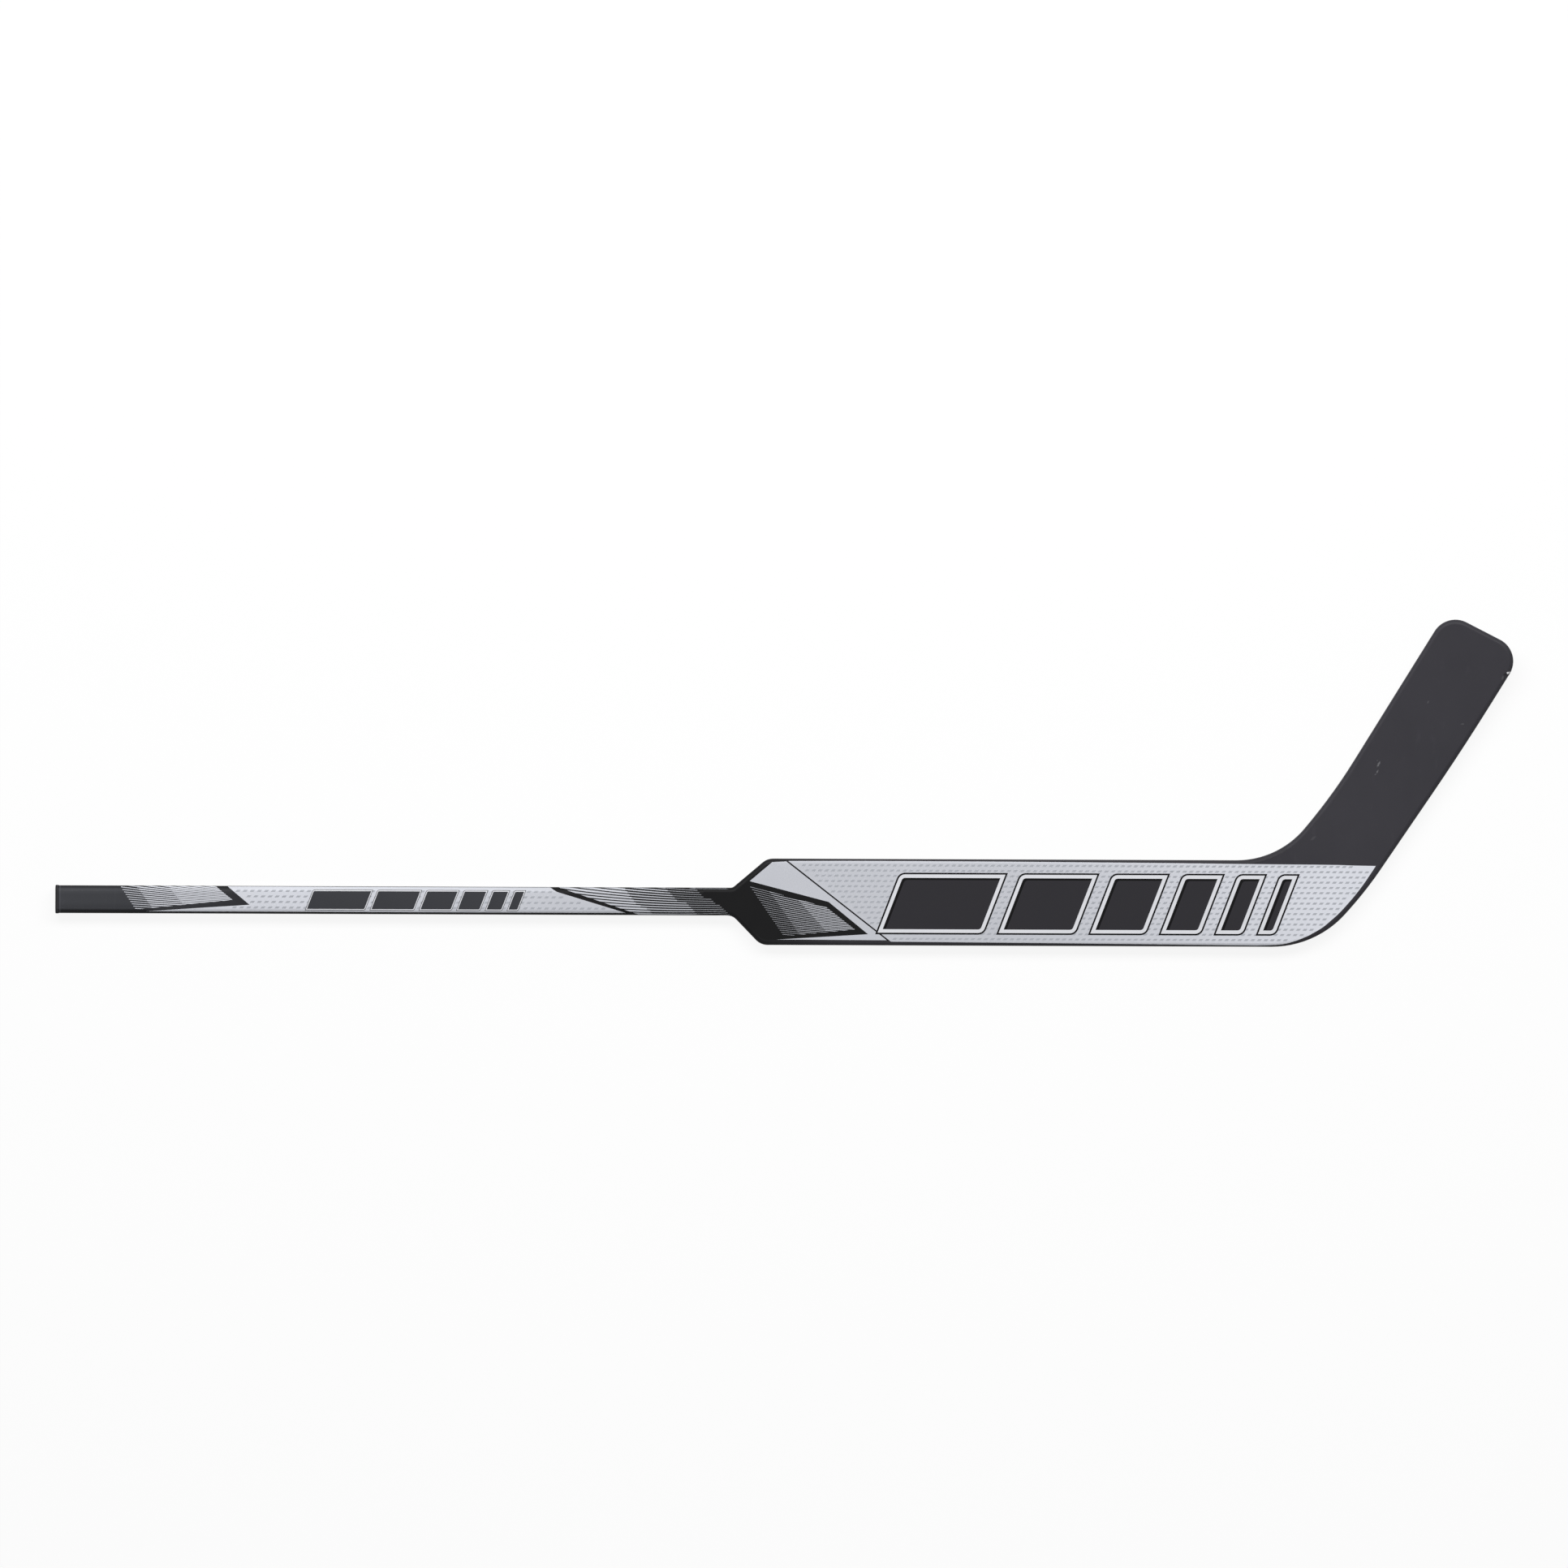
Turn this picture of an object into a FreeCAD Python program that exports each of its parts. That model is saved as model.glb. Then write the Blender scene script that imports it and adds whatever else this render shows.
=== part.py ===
import FreeCAD
import Part
import Sketcher
import math
import os
from collections import namedtuple
from FreeCAD import Placement, Rotation, Vector

# A goaltender's hockey stick that lies on its back with its printed face up.
# X runs along the shaft towards the heel, Y towards the toe, Z up through the face.
# The origin is on the back face, where the shaft's sides meet the paddle's shoulders.

# Driving dimensions, in millimetres and degrees
DIMENSIONS = {
    # Shaft
    "stick_thickness": 20.0,
    "shaft_width": 28.6,
    "shaft_length": 664.0,
    "shaft_corner": 5.5,
    "shaft_wall": 2.4,
    "bore_corner": 3.2,
    # Butt end plug
    "flange_thickness": 3.0,
    "flange_lip": 0.4,
    "flange_round": 0.8,
    "plug_depth": 38.0,
    "plug_clearance": 0.5,
    "rib_clearance": 0.1,
    "rib_width": 2.0,
    "rib_pitch": 8.0,
    "rib_count": 4,
    # Printed film, on the shaft and on the paddle
    "film_thickness": 0.2,
    "film_wrap": 6.5,
    "film_setback_butt": 65.0,
    "film_setback_neck": 12.0,
    "film_fall": 0.8,
    "film_fall_start": 25.0,
    # Tenon between the shaft and the paddle
    "tenon_in_shaft": 110.0,
    "tenon_in_paddle": 130.0,
    "tenon_corner": 1.2,
    "tenon_clearance": 0.1,
    # Paddle outline
    "neck_length": 30.0,
    "paddle_width": 89.0,
    "heel_distance": 613.0,
    "upper_shoulder_angle": 40.3,
    "lower_shoulder_angle": 46.0,
    "upper_throat_radius": 6.0,
    "lower_throat_radius": 13.0,
    "shoulder_radius": 16.5,
    # Heel and crook, each a tight arc that eases into a wide one
    "heel_radius": 102.0,
    "heel_ease": 10.0,
    "heel_ease_radius": 400.0,
    "crook_radius": 91.0,
    "crook_ease": 8.0,
    "crook_ease_radius": 580.0,
    "bend_straight": 6.0,
    # Blade outline
    "lie_angle": 58.4,
    "blade_width": 88.8,
    "rocker_distance": 246.0,
    "rocker_turn": 2.5,
    "rocker_radius": 2600.0,
    "toe_distance": 118.6,
    "toe_slant": 4.5,
    "toe_radius": 25.0,
    # Blade curve and taper
    "curve_lift": 8.5,
    "toe_thickness": 12.0,
    # Layers of the paddle and the blade
    "skin_thickness": 1.2,
    "paddle_band": 4.9,
    "blade_band": 5.2,
    "edge_radius": 4.5,
    "bond_gap": 0.1,
    "core_start": 12.0,
    # Stiffeners inside the foam
    "rib_thickness": 3.0,
    "spine_setback": 95.0,
    "blade_rib_setback": 30.0,
    "blade_rib_length": 229.0,
    "heel_tenon_length": 100.0,
    "heel_tenon_width": 26.0,
    "heel_tenon_thickness": 8.0,
    "heel_tenon_corner": 6.0,
}

# Sizes worked out from the driving dimensions, each from those above it
WORKED = {
    "shaft_half": "dims.shaft_width / 2",
    "paddle_half": "dims.paddle_width / 2",
    "skin_depth": "dims.film_thickness + dims.skin_thickness",
    "reach": "dims.shaft_length + dims.heel_distance",
    # The lower edge of the blade runs from the heel's corner to the rocker and on to the toe
    "lower_angle": "dims.lie_angle - dims.rocker_turn",
    "rocker_x": "dims.heel_distance + dims.rocker_distance * cos(worked.lower_angle)",
    "rocker_y": "-worked.paddle_half + dims.rocker_distance * sin(worked.lower_angle)",
    "toe_x": "worked.rocker_x + dims.toe_distance * cos(dims.lie_angle)",
    "toe_y": "worked.rocker_y + dims.toe_distance * sin(dims.lie_angle)",
    # The upper edge is parallel to it, and the middle line lies between
    "upper_x": "worked.rocker_x - dims.blade_width * sin(dims.lie_angle)",
    "upper_y": "worked.rocker_y + dims.blade_width * cos(dims.lie_angle)",
    "middle_x": "(worked.rocker_x + worked.upper_x) / 2",
    "middle_y": "(worked.rocker_y + worked.upper_y) / 2",
    # The crook's corner, and where its tight bend turns off the paddle's upper edge
    "crook_corner_x": "worked.upper_x - (worked.upper_y - worked.paddle_half) / tan(dims.lie_angle)",
    "crook_angle": "dims.lie_angle - dims.crook_ease",
    "crook_span": "dims.crook_radius * tan(worked.crook_angle / 2)"
                  " + dims.crook_ease_radius * tan(dims.crook_ease / 2) + dims.bend_straight",
    "crook_bend_x": "worked.crook_corner_x"
                    " - worked.crook_span * sin(dims.crook_ease) / sin(dims.lie_angle)",
    "crook_start_x": "worked.crook_bend_x - dims.crook_radius * tan(worked.crook_angle / 2)",
    # The same for the heel, on the paddle's lower edge
    "heel_angle": "dims.lie_angle - dims.heel_ease",
    "heel_turn": "worked.lower_angle - worked.heel_angle",
    "heel_span": "dims.heel_radius * tan(worked.heel_angle / 2)"
                 " + dims.heel_ease_radius * tan(worked.heel_turn / 2) + dims.bend_straight",
    "heel_bend_x": "dims.heel_distance"
                   " - worked.heel_span * sin(worked.heel_turn) / sin(worked.lower_angle)",
    # The paddle and the blade meet on a mitre from the heel's corner to the crook's
    "mitre_x": "(dims.heel_distance + worked.crook_corner_x) / 2",
    "mitre_lean": "atan((dims.heel_distance - worked.crook_corner_x) / dims.paddle_width) / 1 deg",
    # The blade starts to curve and taper where its lower edge passes the paddle's upper edge
    "curve_start": "(dims.paddle_width / sin(worked.lower_angle) - dims.rocker_distance)"
                   " * cos(dims.rocker_turn)",
    "curve_run": "dims.toe_distance - worked.curve_start",
    "back_lift": "dims.stick_thickness + dims.curve_lift - dims.toe_thickness",
    "layer_end": "dims.toe_distance + dims.blade_width / 2",
    "tall": "2 * (dims.stick_thickness + dims.curve_lift + worked.back_lift)",
}

doc = FreeCAD.newDocument("goalie_stick")
sheet = doc.addObject("Spreadsheet::Sheet", "dims")
for row, (alias, size) in enumerate(DIMENSIONS.items(), start=1):
    sheet.set(f"A{row}", alias)
    sheet.set(f"B{row}", str(size))
    sheet.setAlias(f"B{row}", alias)
doc.recompute()
worked = doc.addObject("App::VarSet", "worked")
for name, formula in WORKED.items():
    worked.addProperty("App::PropertyFloat", name, "Worked")
    worked.setExpression(name, formula)
    doc.recompute()

# Outlines: an edge has a direction and a point that it passes through, all as formulas
Edge = namedtuple("Edge", "angle x y")
TINY = 1e-9
LEVEL_SLACK = 1e-4


def inset(edge, amount):
    """The same edge moved to its left, into an outline that runs anticlockwise."""
    x = f"({edge.x}) - ({amount}) * sin({edge.angle})"
    y = f"({edge.y}) + ({amount}) * cos({edge.angle})"
    return Edge(edge.angle, x, y)


def meeting_point(first, second):
    """Where two lines cross, each given as a direction in radians and a point."""
    (angle_a, point_a), (angle_b, point_b) = first, second
    between = point_b - point_a
    along = between.x * math.sin(angle_b) - between.y * math.cos(angle_b)
    along /= math.sin(angle_b - angle_a)
    return point_a + Vector(math.cos(angle_a), math.sin(angle_a), 0) * along


def coordinate_rule(sketch, axis, geometry, point, formula):
    """A constraint that holds one coordinate of a point, on the axis itself where it is zero."""
    size = float(sketch.evalExpression(formula))
    if abs(size) < TINY:
        across = -2 if axis == "X" else -1
        return Sketcher.Constraint("PointOnObject", geometry, point, across), None
    return Sketcher.Constraint(f"Distance{axis}", -1, 1, geometry, point, size), formula


def edge_rules(sketch, line, edge):
    """Constraints that hold a line in its edge's direction, through the edge's point."""
    angle = math.radians(float(sketch.evalExpression(edge.angle)))
    if abs(math.sin(angle)) < TINY:
        level = coordinate_rule(sketch, "Y", line, 1, edge.y)
        return [(Sketcher.Constraint("Horizontal", line), None), level]
    if abs(math.cos(angle)) < TINY:
        level = coordinate_rule(sketch, "X", line, 1, edge.x)
        return [(Sketcher.Constraint("Vertical", line), None), level]
    place = Vector(*[float(sketch.evalExpression(text)) for text in (edge.x, edge.y)], 0)
    guide = sketch.addGeometry(Part.Point(place), True)
    return [
        coordinate_rule(sketch, "X", guide, 1, edge.x),
        coordinate_rule(sketch, "Y", guide, 1, edge.y),
        (Sketcher.Constraint("PointOnObject", guide, 1, line), None),
        (Sketcher.Constraint("Angle", line, angle), edge.angle),
    ]


def corner_place(first, second, radius):
    """Where a round corner leaves one line and joins the next, with its centre and its side."""
    (angle, _), (following, _) = first, second
    turn = math.remainder(following - angle, 2 * math.pi)
    side = math.copysign(1, turn)
    corner = meeting_point(first, second)
    back = radius * math.tan(abs(turn) / 2)
    leave = corner - Vector(math.cos(angle), math.sin(angle), 0) * back
    join = corner + Vector(math.cos(following), math.sin(following), 0) * back
    centre = leave + Vector(-math.sin(angle), math.cos(angle), 0) * radius * side
    return leave, join, centre, side


def draw_outline(sketch, edges, radii):
    """Draw a closed outline anticlockwise; radii holds the round after each edge, or None."""
    count = len(edges)
    lines = []
    for edge in edges:
        angle, x, y = [float(sketch.evalExpression(text)) for text in edge]
        lines.append((math.radians(angle), Vector(x, y, 0)))
    sizes = [float(sketch.evalExpression(radius)) if radius else 0.0 for radius in radii]
    corners = [corner_place(lines[at], lines[(at + 1) % count], sizes[at]) for at in range(count)]
    drawn = []
    for at in range(count):
        segment = Part.LineSegment(corners[at - 1][1], corners[at][0])
        drawn.append(sketch.addGeometry(segment))
    rules = []
    for line, edge in zip(drawn, edges):
        rules += edge_rules(sketch, line, edge)
    for at in range(count):
        before, after = drawn[at], drawn[(at + 1) % count]
        if not radii[at]:
            rules.append((Sketcher.Constraint("Coincident", before, 2, after, 1), None))
            continue
        _, _, centre, side = corners[at]
        start = lines[at][0] - side * math.pi / 2
        finish = lines[(at + 1) % count][0] - side * math.pi / 2
        if side < 0:
            start, finish = finish, start
        circle = Part.Circle(centre, Vector(0, 0, 1), sizes[at])
        arc = sketch.addGeometry(Part.ArcOfCircle(circle, start, finish))
        enter, leave = (1, 2) if side > 0 else (2, 1)
        rules.append((Sketcher.Constraint("Tangent", before, 2, arc, enter), None))
        rules.append((Sketcher.Constraint("Tangent", arc, leave, after, 1), None))
        rules.append((Sketcher.Constraint("Radius", arc, sizes[at]), radii[at]))
    sketch.addConstraint([rule for rule, _ in rules])
    for number, (_, formula) in enumerate(rules):
        if formula:
            sketch.setExpression(f"Constraints[{number}]", formula)


def rectangle(left, right, low, high):
    """Four edges between two upright lines and two level ones."""
    return [
        Edge("0", "0", low),
        Edge("90", right, "0"),
        Edge("180", "0", high),
        Edge("-90", left, "0"),
    ]


def centred_rectangle(half_width, low, high):
    """A rectangle that is symmetric about the sketch's upright axis."""
    return rectangle(f"-({half_width})", half_width, low, high)


# Bodies and features
def new_body(name, x="0", y="0", z="0", turn="0"):
    """An empty body at a place, turned about the upright axis."""
    body = doc.addObject("PartDesign::Body", name)
    body.Label = name
    body.Placement = Placement(Vector(0, 0, 0), Rotation(Vector(0, 0, 1), 1))
    for path, formula in (("Base.x", x), ("Base.y", y), ("Base.z", z), ("Rotation.Angle", turn)):
        body.setExpression(f"Placement.{path}", formula)
    return body


def new_sketch(body, name, plane, edges, radii, offset="0"):
    """An outline on one of the body's own planes, moved along that plane's normal."""
    sketch = body.newObject("Sketcher::SketchObject", name)
    support = next(feature for feature in body.Origin.OriginFeatures if feature.Role == plane)
    sketch.AttachmentSupport = [(support, "")]
    sketch.MapMode = "FlatFace"
    sketch.setExpression("AttachmentOffset.Base.z", offset)
    draw_outline(sketch, edges, radii)
    return sketch


def add_feature(kind, body, name, sketch, length, side="One side", backwards=False):
    """A pad or a pocket of the given depth."""
    feature = body.newObject(f"PartDesign::{kind}", name)
    feature.Profile = sketch
    feature.SideType = side
    feature.Reversed = backwards
    feature.setExpression("Length", length)
    body.Tip = feature
    return feature


def plate(name, edges, radii, low, thickness):
    """A flat piece with the given outline, from a height upwards."""
    body = new_body(name, z=low)
    sketch = new_sketch(body, f"{name}_outline", "XY_Plane", edges, radii)
    add_feature("Pad", body, f"{name}_pad", sketch, thickness)
    return body


def prism(name, edges, radii):
    """A tall block with the given outline, through every layer of the stick."""
    body = new_body(name)
    sketch = new_sketch(body, f"{name}_outline", "XY_Plane", edges, radii)
    add_feature("Pad", body, f"{name}_pad", sketch, "worked.tall", side="Symmetric")
    return body


def combine(kind, name, base, tool):
    """A boolean of two objects."""
    result = doc.addObject(f"Part::{kind}", name)
    result.Label = name
    result.Base = base
    result.Tool = tool
    return result


def cut(name, base, *tools):
    """The base with each tool taken away in turn; the last step carries the name."""
    for step, tool in enumerate(tools, start=1):
        last = step == len(tools)
        base = combine("Cut", name if last else f"{name}_less_{tool.Name}", base, tool)
    return base


def common(name, base, tool):
    """What two objects share."""
    return combine("Common", name, base, tool)


def half_space(name, x, y, turn):
    """A block as large as the stick, to the left of a line through a point."""
    body = new_body(name, x=x, y=y, turn=turn)
    edges = centred_rectangle("worked.reach", "0", "worked.reach")
    sketch = new_sketch(body, f"{name}_outline", "XY_Plane", edges, [None] * 4)
    add_feature("Pad", body, f"{name}_pad", sketch, "worked.tall", side="Symmetric")
    return body


# Shaft
BORE_HALF = "worked.shaft_half - dims.shaft_wall"
BORE_LOW = "dims.shaft_wall"
BORE_HIGH = "dims.stick_thickness - dims.shaft_wall"
SHAFT_FILM_LENGTH = "dims.shaft_length - dims.film_setback_butt - dims.film_setback_neck"


def bore_filler(clearance):
    """The section of a piece that fits the bore with a clearance all round."""
    return centred_rectangle(f"{BORE_HALF} - {clearance}", f"{BORE_LOW} + {clearance}",
                             f"{BORE_HIGH} - {clearance}")


def shaft_film_edges(on_front):
    """A film that covers one face of the shaft and wraps both of its corners."""
    outside = "worked.shaft_half"
    inside = "worked.shaft_half - dims.film_thickness"
    front = [
        Edge("90", outside, "0"),
        Edge("180", "0", "dims.stick_thickness"),
        Edge("-90", f"-({outside})", "0"),
        Edge("0", "0", "dims.stick_thickness - dims.film_wrap"),
        Edge("90", f"-({inside})", "0"),
        Edge("0", "0", "dims.stick_thickness - dims.film_thickness"),
        Edge("-90", inside, "0"),
        Edge("0", "0", "dims.stick_thickness - dims.film_wrap"),
    ]
    if on_front:
        return front
    half_turn = {"90": "-90", "-90": "90", "180": "0", "0": "180"}
    back = []
    for edge in front:
        back.append(Edge(half_turn[edge.angle], f"-({edge.x})", f"dims.stick_thickness - ({edge.y})"))
    return back


INNER_FILM_CORNER = "dims.shaft_corner - dims.film_thickness"
SHAFT_FILM_RADII = [
    "dims.shaft_corner", "dims.shaft_corner", None, None,
    INNER_FILM_CORNER, INNER_FILM_CORNER, None, None,
]


def make_shaft_film(name, on_front):
    """One printed film of the shaft."""
    body = new_body(name, x="-dims.neck_length - dims.film_setback_neck")
    sketch = new_sketch(body, f"{name}_section", "YZ_Plane", shaft_film_edges(on_front), SHAFT_FILM_RADII)
    add_feature("Pad", body, f"{name}_pad", sketch, SHAFT_FILM_LENGTH, backwards=True)
    return body


def make_shaft_tube():
    """The hollow shaft, with a shallow bed for the film on each face."""
    body = new_body("shaft_tube", x="-dims.neck_length")
    outer = centred_rectangle("worked.shaft_half", "0", "dims.stick_thickness")
    section = new_sketch(body, "tube_section", "YZ_Plane", outer, ["dims.shaft_corner"] * 4)
    add_feature("Pad", body, "tube_pad", section, "dims.shaft_length", backwards=True)
    bore = centred_rectangle(BORE_HALF, BORE_LOW, BORE_HIGH)
    bore_section = new_sketch(body, "bore_section", "YZ_Plane", bore, ["dims.bore_corner"] * 4)
    add_feature("Pocket", body, "bore_pocket", bore_section, "dims.shaft_length")
    for face, on_front in (("front", True), ("back", False)):
        bed = new_sketch(body, f"{face}_bed_section", "YZ_Plane", shaft_film_edges(on_front),
                         SHAFT_FILM_RADII, offset="-dims.film_setback_neck")
        add_feature("Pocket", body, f"{face}_bed_pocket", bed, SHAFT_FILM_LENGTH)
    return body


def make_butt_end_plug():
    """The cap of the butt: a flange on the tube's end and a ribbed stem in its bore."""
    body = new_body("butt_end_plug", x="-dims.neck_length - dims.shaft_length")
    flange = centred_rectangle("worked.shaft_half + dims.flange_lip", "0", "dims.stick_thickness")
    flange_section = new_sketch(body, "flange_section", "YZ_Plane", flange, ["dims.shaft_corner"] * 4)
    flange_pad = add_feature("Pad", body, "flange_pad", flange_section, "dims.flange_thickness",
                             backwards=True)
    doc.recompute()
    outer_face = min(flange_pad.Shape.Faces, key=lambda face: face.CenterOfMass.x)
    rim = [f"Edge{number}" for number, edge in enumerate(flange_pad.Shape.Edges, start=1)
           if any(edge.isSame(other) for other in outer_face.Edges)]
    rim_fillet = body.newObject("PartDesign::Fillet", "flange_rim")
    rim_fillet.Base = (flange_pad, rim)
    rim_fillet.setExpression("Radius", "dims.flange_round")
    body.Tip = rim_fillet
    corners = ["dims.bore_corner"] * 4
    stem_section = new_sketch(body, "stem_section", "YZ_Plane", bore_filler("dims.plug_clearance"), corners)
    add_feature("Pad", body, "stem_pad", stem_section, "dims.plug_depth")
    rib_section = new_sketch(body, "rib_section", "YZ_Plane", bore_filler("dims.rib_clearance"), corners,
                             offset="dims.rib_pitch - dims.rib_width")
    first_rib = add_feature("Pad", body, "rib_pad", rib_section, "dims.rib_width")
    ribs = body.newObject("PartDesign::LinearPattern", "rib_pattern")
    ribs.Originals = [first_rib]
    ribs.Direction = (next(item for item in body.Origin.OriginFeatures if item.Role == "X_Axis"), [""])
    ribs.Mode = "Spacing"
    ribs.setExpression("Offset", "dims.rib_pitch")
    ribs.setExpression("Occurrences", "dims.rib_count")
    body.Tip = ribs
    return body


def make_shaft_tenon():
    """The block that joins shaft and paddle: a stem in the bore and a wider tongue in the neck."""
    body = new_body("shaft_tenon", x="-dims.neck_length")
    stem = bore_filler("dims.tenon_clearance")
    stem_section = new_sketch(body, "tenon_stem_section", "YZ_Plane", stem, ["dims.bore_corner"] * 4)
    add_feature("Pad", body, "tenon_stem_pad", stem_section, "dims.tenon_in_shaft", backwards=True)
    tongue = centred_rectangle("worked.shaft_half - dims.paddle_band - dims.tenon_clearance",
                               "worked.skin_depth + dims.tenon_clearance",
                               "dims.stick_thickness - worked.skin_depth - dims.tenon_clearance")
    tongue_section = new_sketch(body, "tenon_tongue_section", "YZ_Plane", tongue,
                                ["dims.tenon_corner"] * 4)
    add_feature("Pad", body, "tenon_tongue_pad", tongue_section,
                "dims.neck_length + dims.tenon_in_paddle")
    return body


# Outline of the paddle and the blade together, anticlockwise from the neck's lower side
PADDLE_BAND = "dims.paddle_band"
BLADE_BAND = "dims.blade_band"
NECK_LOWER = Edge("0", "0", "-worked.shaft_half")
LOWER_SHOULDER = Edge("-dims.lower_shoulder_angle", "0", "-worked.shaft_half")
PADDLE_LOWER = Edge("0", "0", "-worked.paddle_half")
HEEL = Edge("worked.heel_angle", "worked.heel_bend_x", "-worked.paddle_half")
BLADE_LOWER = Edge("worked.lower_angle", "dims.heel_distance", "-worked.paddle_half")
BLADE_LOWER_TOE = Edge("dims.lie_angle", "worked.rocker_x", "worked.rocker_y")
TOE = Edge("dims.lie_angle + 90 + dims.toe_slant", "worked.toe_x", "worked.toe_y")
BLADE_UPPER = Edge("dims.lie_angle - 180", "worked.upper_x", "worked.upper_y")
CROOK = Edge("worked.crook_angle - 180", "worked.crook_bend_x", "worked.paddle_half")
PADDLE_UPPER = Edge("180", "0", "worked.paddle_half")
UPPER_SHOULDER = Edge("dims.upper_shoulder_angle - 180", "0", "worked.shaft_half")
NECK_UPPER = Edge("180", "0", "worked.shaft_half")

# Each side with its band, the round after it, and whether that round bulges outwards
SIDES = [
    (NECK_LOWER, PADDLE_BAND, "dims.lower_throat_radius", False),
    (LOWER_SHOULDER, PADDLE_BAND, "dims.shoulder_radius", True),
    (PADDLE_LOWER, PADDLE_BAND, "dims.heel_radius", True),
    (HEEL, BLADE_BAND, "dims.heel_ease_radius", True),
    (BLADE_LOWER, BLADE_BAND, "dims.rocker_radius", True),
    (BLADE_LOWER_TOE, BLADE_BAND, "dims.toe_radius", True),
    (TOE, BLADE_BAND, "dims.toe_radius", True),
    (BLADE_UPPER, BLADE_BAND, "dims.crook_ease_radius", False),
    (CROOK, BLADE_BAND, "dims.crook_radius", False),
    (PADDLE_UPPER, PADDLE_BAND, "dims.shoulder_radius", True),
    (UPPER_SHOULDER, PADDLE_BAND, "dims.upper_throat_radius", False),
    (NECK_UPPER, PADDLE_BAND, None, True),
]


def stick_outline(sides, end_x, deeper=None):
    """Edges and radii of the given sides, closed by an upright edge; deeper moves them inwards."""
    edges = []
    radii = []
    for edge, band, radius, bulges in sides:
        if deeper is None:
            edges.append(edge)
            radii.append(radius)
            continue
        amount = f"({band} + {deeper})"
        edges.append(inset(edge, amount))
        sign = "-" if bulges else "+"
        radii.append(f"{radius} {sign} {amount}" if radius else None)
    edges.append(Edge("-90", end_x, "0"))
    radii.append(None)
    return edges, radii


# Layers of the blade, seen along it: flat under the paddle, then curved up towards the toe
def layer(name, low, low_lift, high, high_lift):
    """A sheet between two heights, each of which rises by its own lift at the toe."""
    body = new_body(name, x="worked.middle_x", y="worked.middle_y", turn="dims.lie_angle")

    def rise(lift):
        angle = f"2 * atan(({lift}) / worked.curve_run) / 1 deg"
        bend = f"worked.curve_start + (worked.curve_run^2 + ({lift})^2) / (2 * worked.curve_run)"
        radius = f"(worked.curve_run^2 + ({lift})^2) / (2 * ({lift}))"
        return angle, bend, radius

    low_angle, low_bend, low_radius = rise(low_lift)
    high_angle, high_bend, high_radius = rise(high_lift)
    edges = [
        Edge("0", "0", low),
        Edge(low_angle, low_bend, low),
        Edge("90", "worked.layer_end", "0"),
        Edge(f"{high_angle} - 180", high_bend, high),
        Edge("180", "0", high),
        Edge("-90", "-worked.reach", "0"),
    ]
    radii = [low_radius, None, None, high_radius, None, None]
    sketch = new_sketch(body, f"{name}_profile", "XZ_Plane", edges, radii)
    add_feature("Pad", body, f"{name}_pad", sketch, "2 * worked.reach", side="Symmetric")
    return body


def middle_normal(face):
    """The direction that a face looks in, at its middle."""
    low_u, high_u, low_v, high_v = face.ParameterRange
    return face.normalAt((low_u + high_u) / 2, (low_v + high_v) / 2)


def round_outer_edges(name, base):
    """Round the front and back edges of every upright wall but the neck's end."""
    body = new_body(name)
    body.BaseFeature = base
    doc.recompute()
    raw = body.Group[0]
    walls = []
    for face in raw.Shape.Faces:
        normal = middle_normal(face)
        if abs(normal.z) < LEVEL_SLACK and normal.x > LEVEL_SLACK - 1:
            walls.append(face)
    chosen = []
    for number, edge in enumerate(raw.Shape.Edges, start=1):
        upright = abs(edge.tangentAt(edge.FirstParameter).z) > 1 - LEVEL_SLACK
        on_wall = any(edge.isSame(other) for wall in walls for other in wall.Edges)
        if on_wall and not upright:
            chosen.append(f"Edge{number}")
    rounds = body.newObject("PartDesign::Fillet", f"{name}_rounds")
    rounds.Base = (raw, chosen)
    rounds.setExpression("Radius", "dims.edge_radius")
    body.Tip = rounds
    return body


# Shared blocks that the layered pieces are cut from
FRONT = "dims.stick_thickness"
FRONT_INSIDE = "dims.stick_thickness - worked.skin_depth"
BACK_INSIDE = "worked.skin_depth"
FRONT_LIFT = "dims.curve_lift"
BACK_LIFT = "worked.back_lift"
whole_block = prism("whole_block", *stick_outline(SIDES, "-dims.neck_length"))
inner_block = prism("inner_block", *stick_outline(SIDES, "-dims.neck_length", "0"))
panel_block = prism("panel_block", *stick_outline(SIDES, "-2 * dims.neck_length", "0"))
whole_layer = layer("whole_layer", "0", BACK_LIFT, FRONT, FRONT_LIFT)
front_layer = layer("front_layer", FRONT_INSIDE, FRONT_LIFT, FRONT, FRONT_LIFT)
core_layer = layer("core_layer", BACK_INSIDE, BACK_LIFT, FRONT_INSIDE, FRONT_LIFT)
back_layer = layer("back_layer", "0", BACK_LIFT, BACK_INSIDE, BACK_LIFT)
blade_zone = half_space("blade_zone", "worked.mitre_x", "0", "worked.mitre_lean - 90")
upper_zone = half_space("upper_zone", "0", "0", "0")
blade_upper_zone = half_space("blade_upper_zone", "worked.middle_x", "worked.middle_y", "dims.lie_angle")

# The foam has no neck: it starts between the shoulders
core_sides = SIDES[1:-2] + [(UPPER_SHOULDER, PADDLE_BAND, None, True)]
core_block = prism("core_block", *stick_outline(core_sides, "dims.core_start", "dims.bond_gap"))

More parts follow.
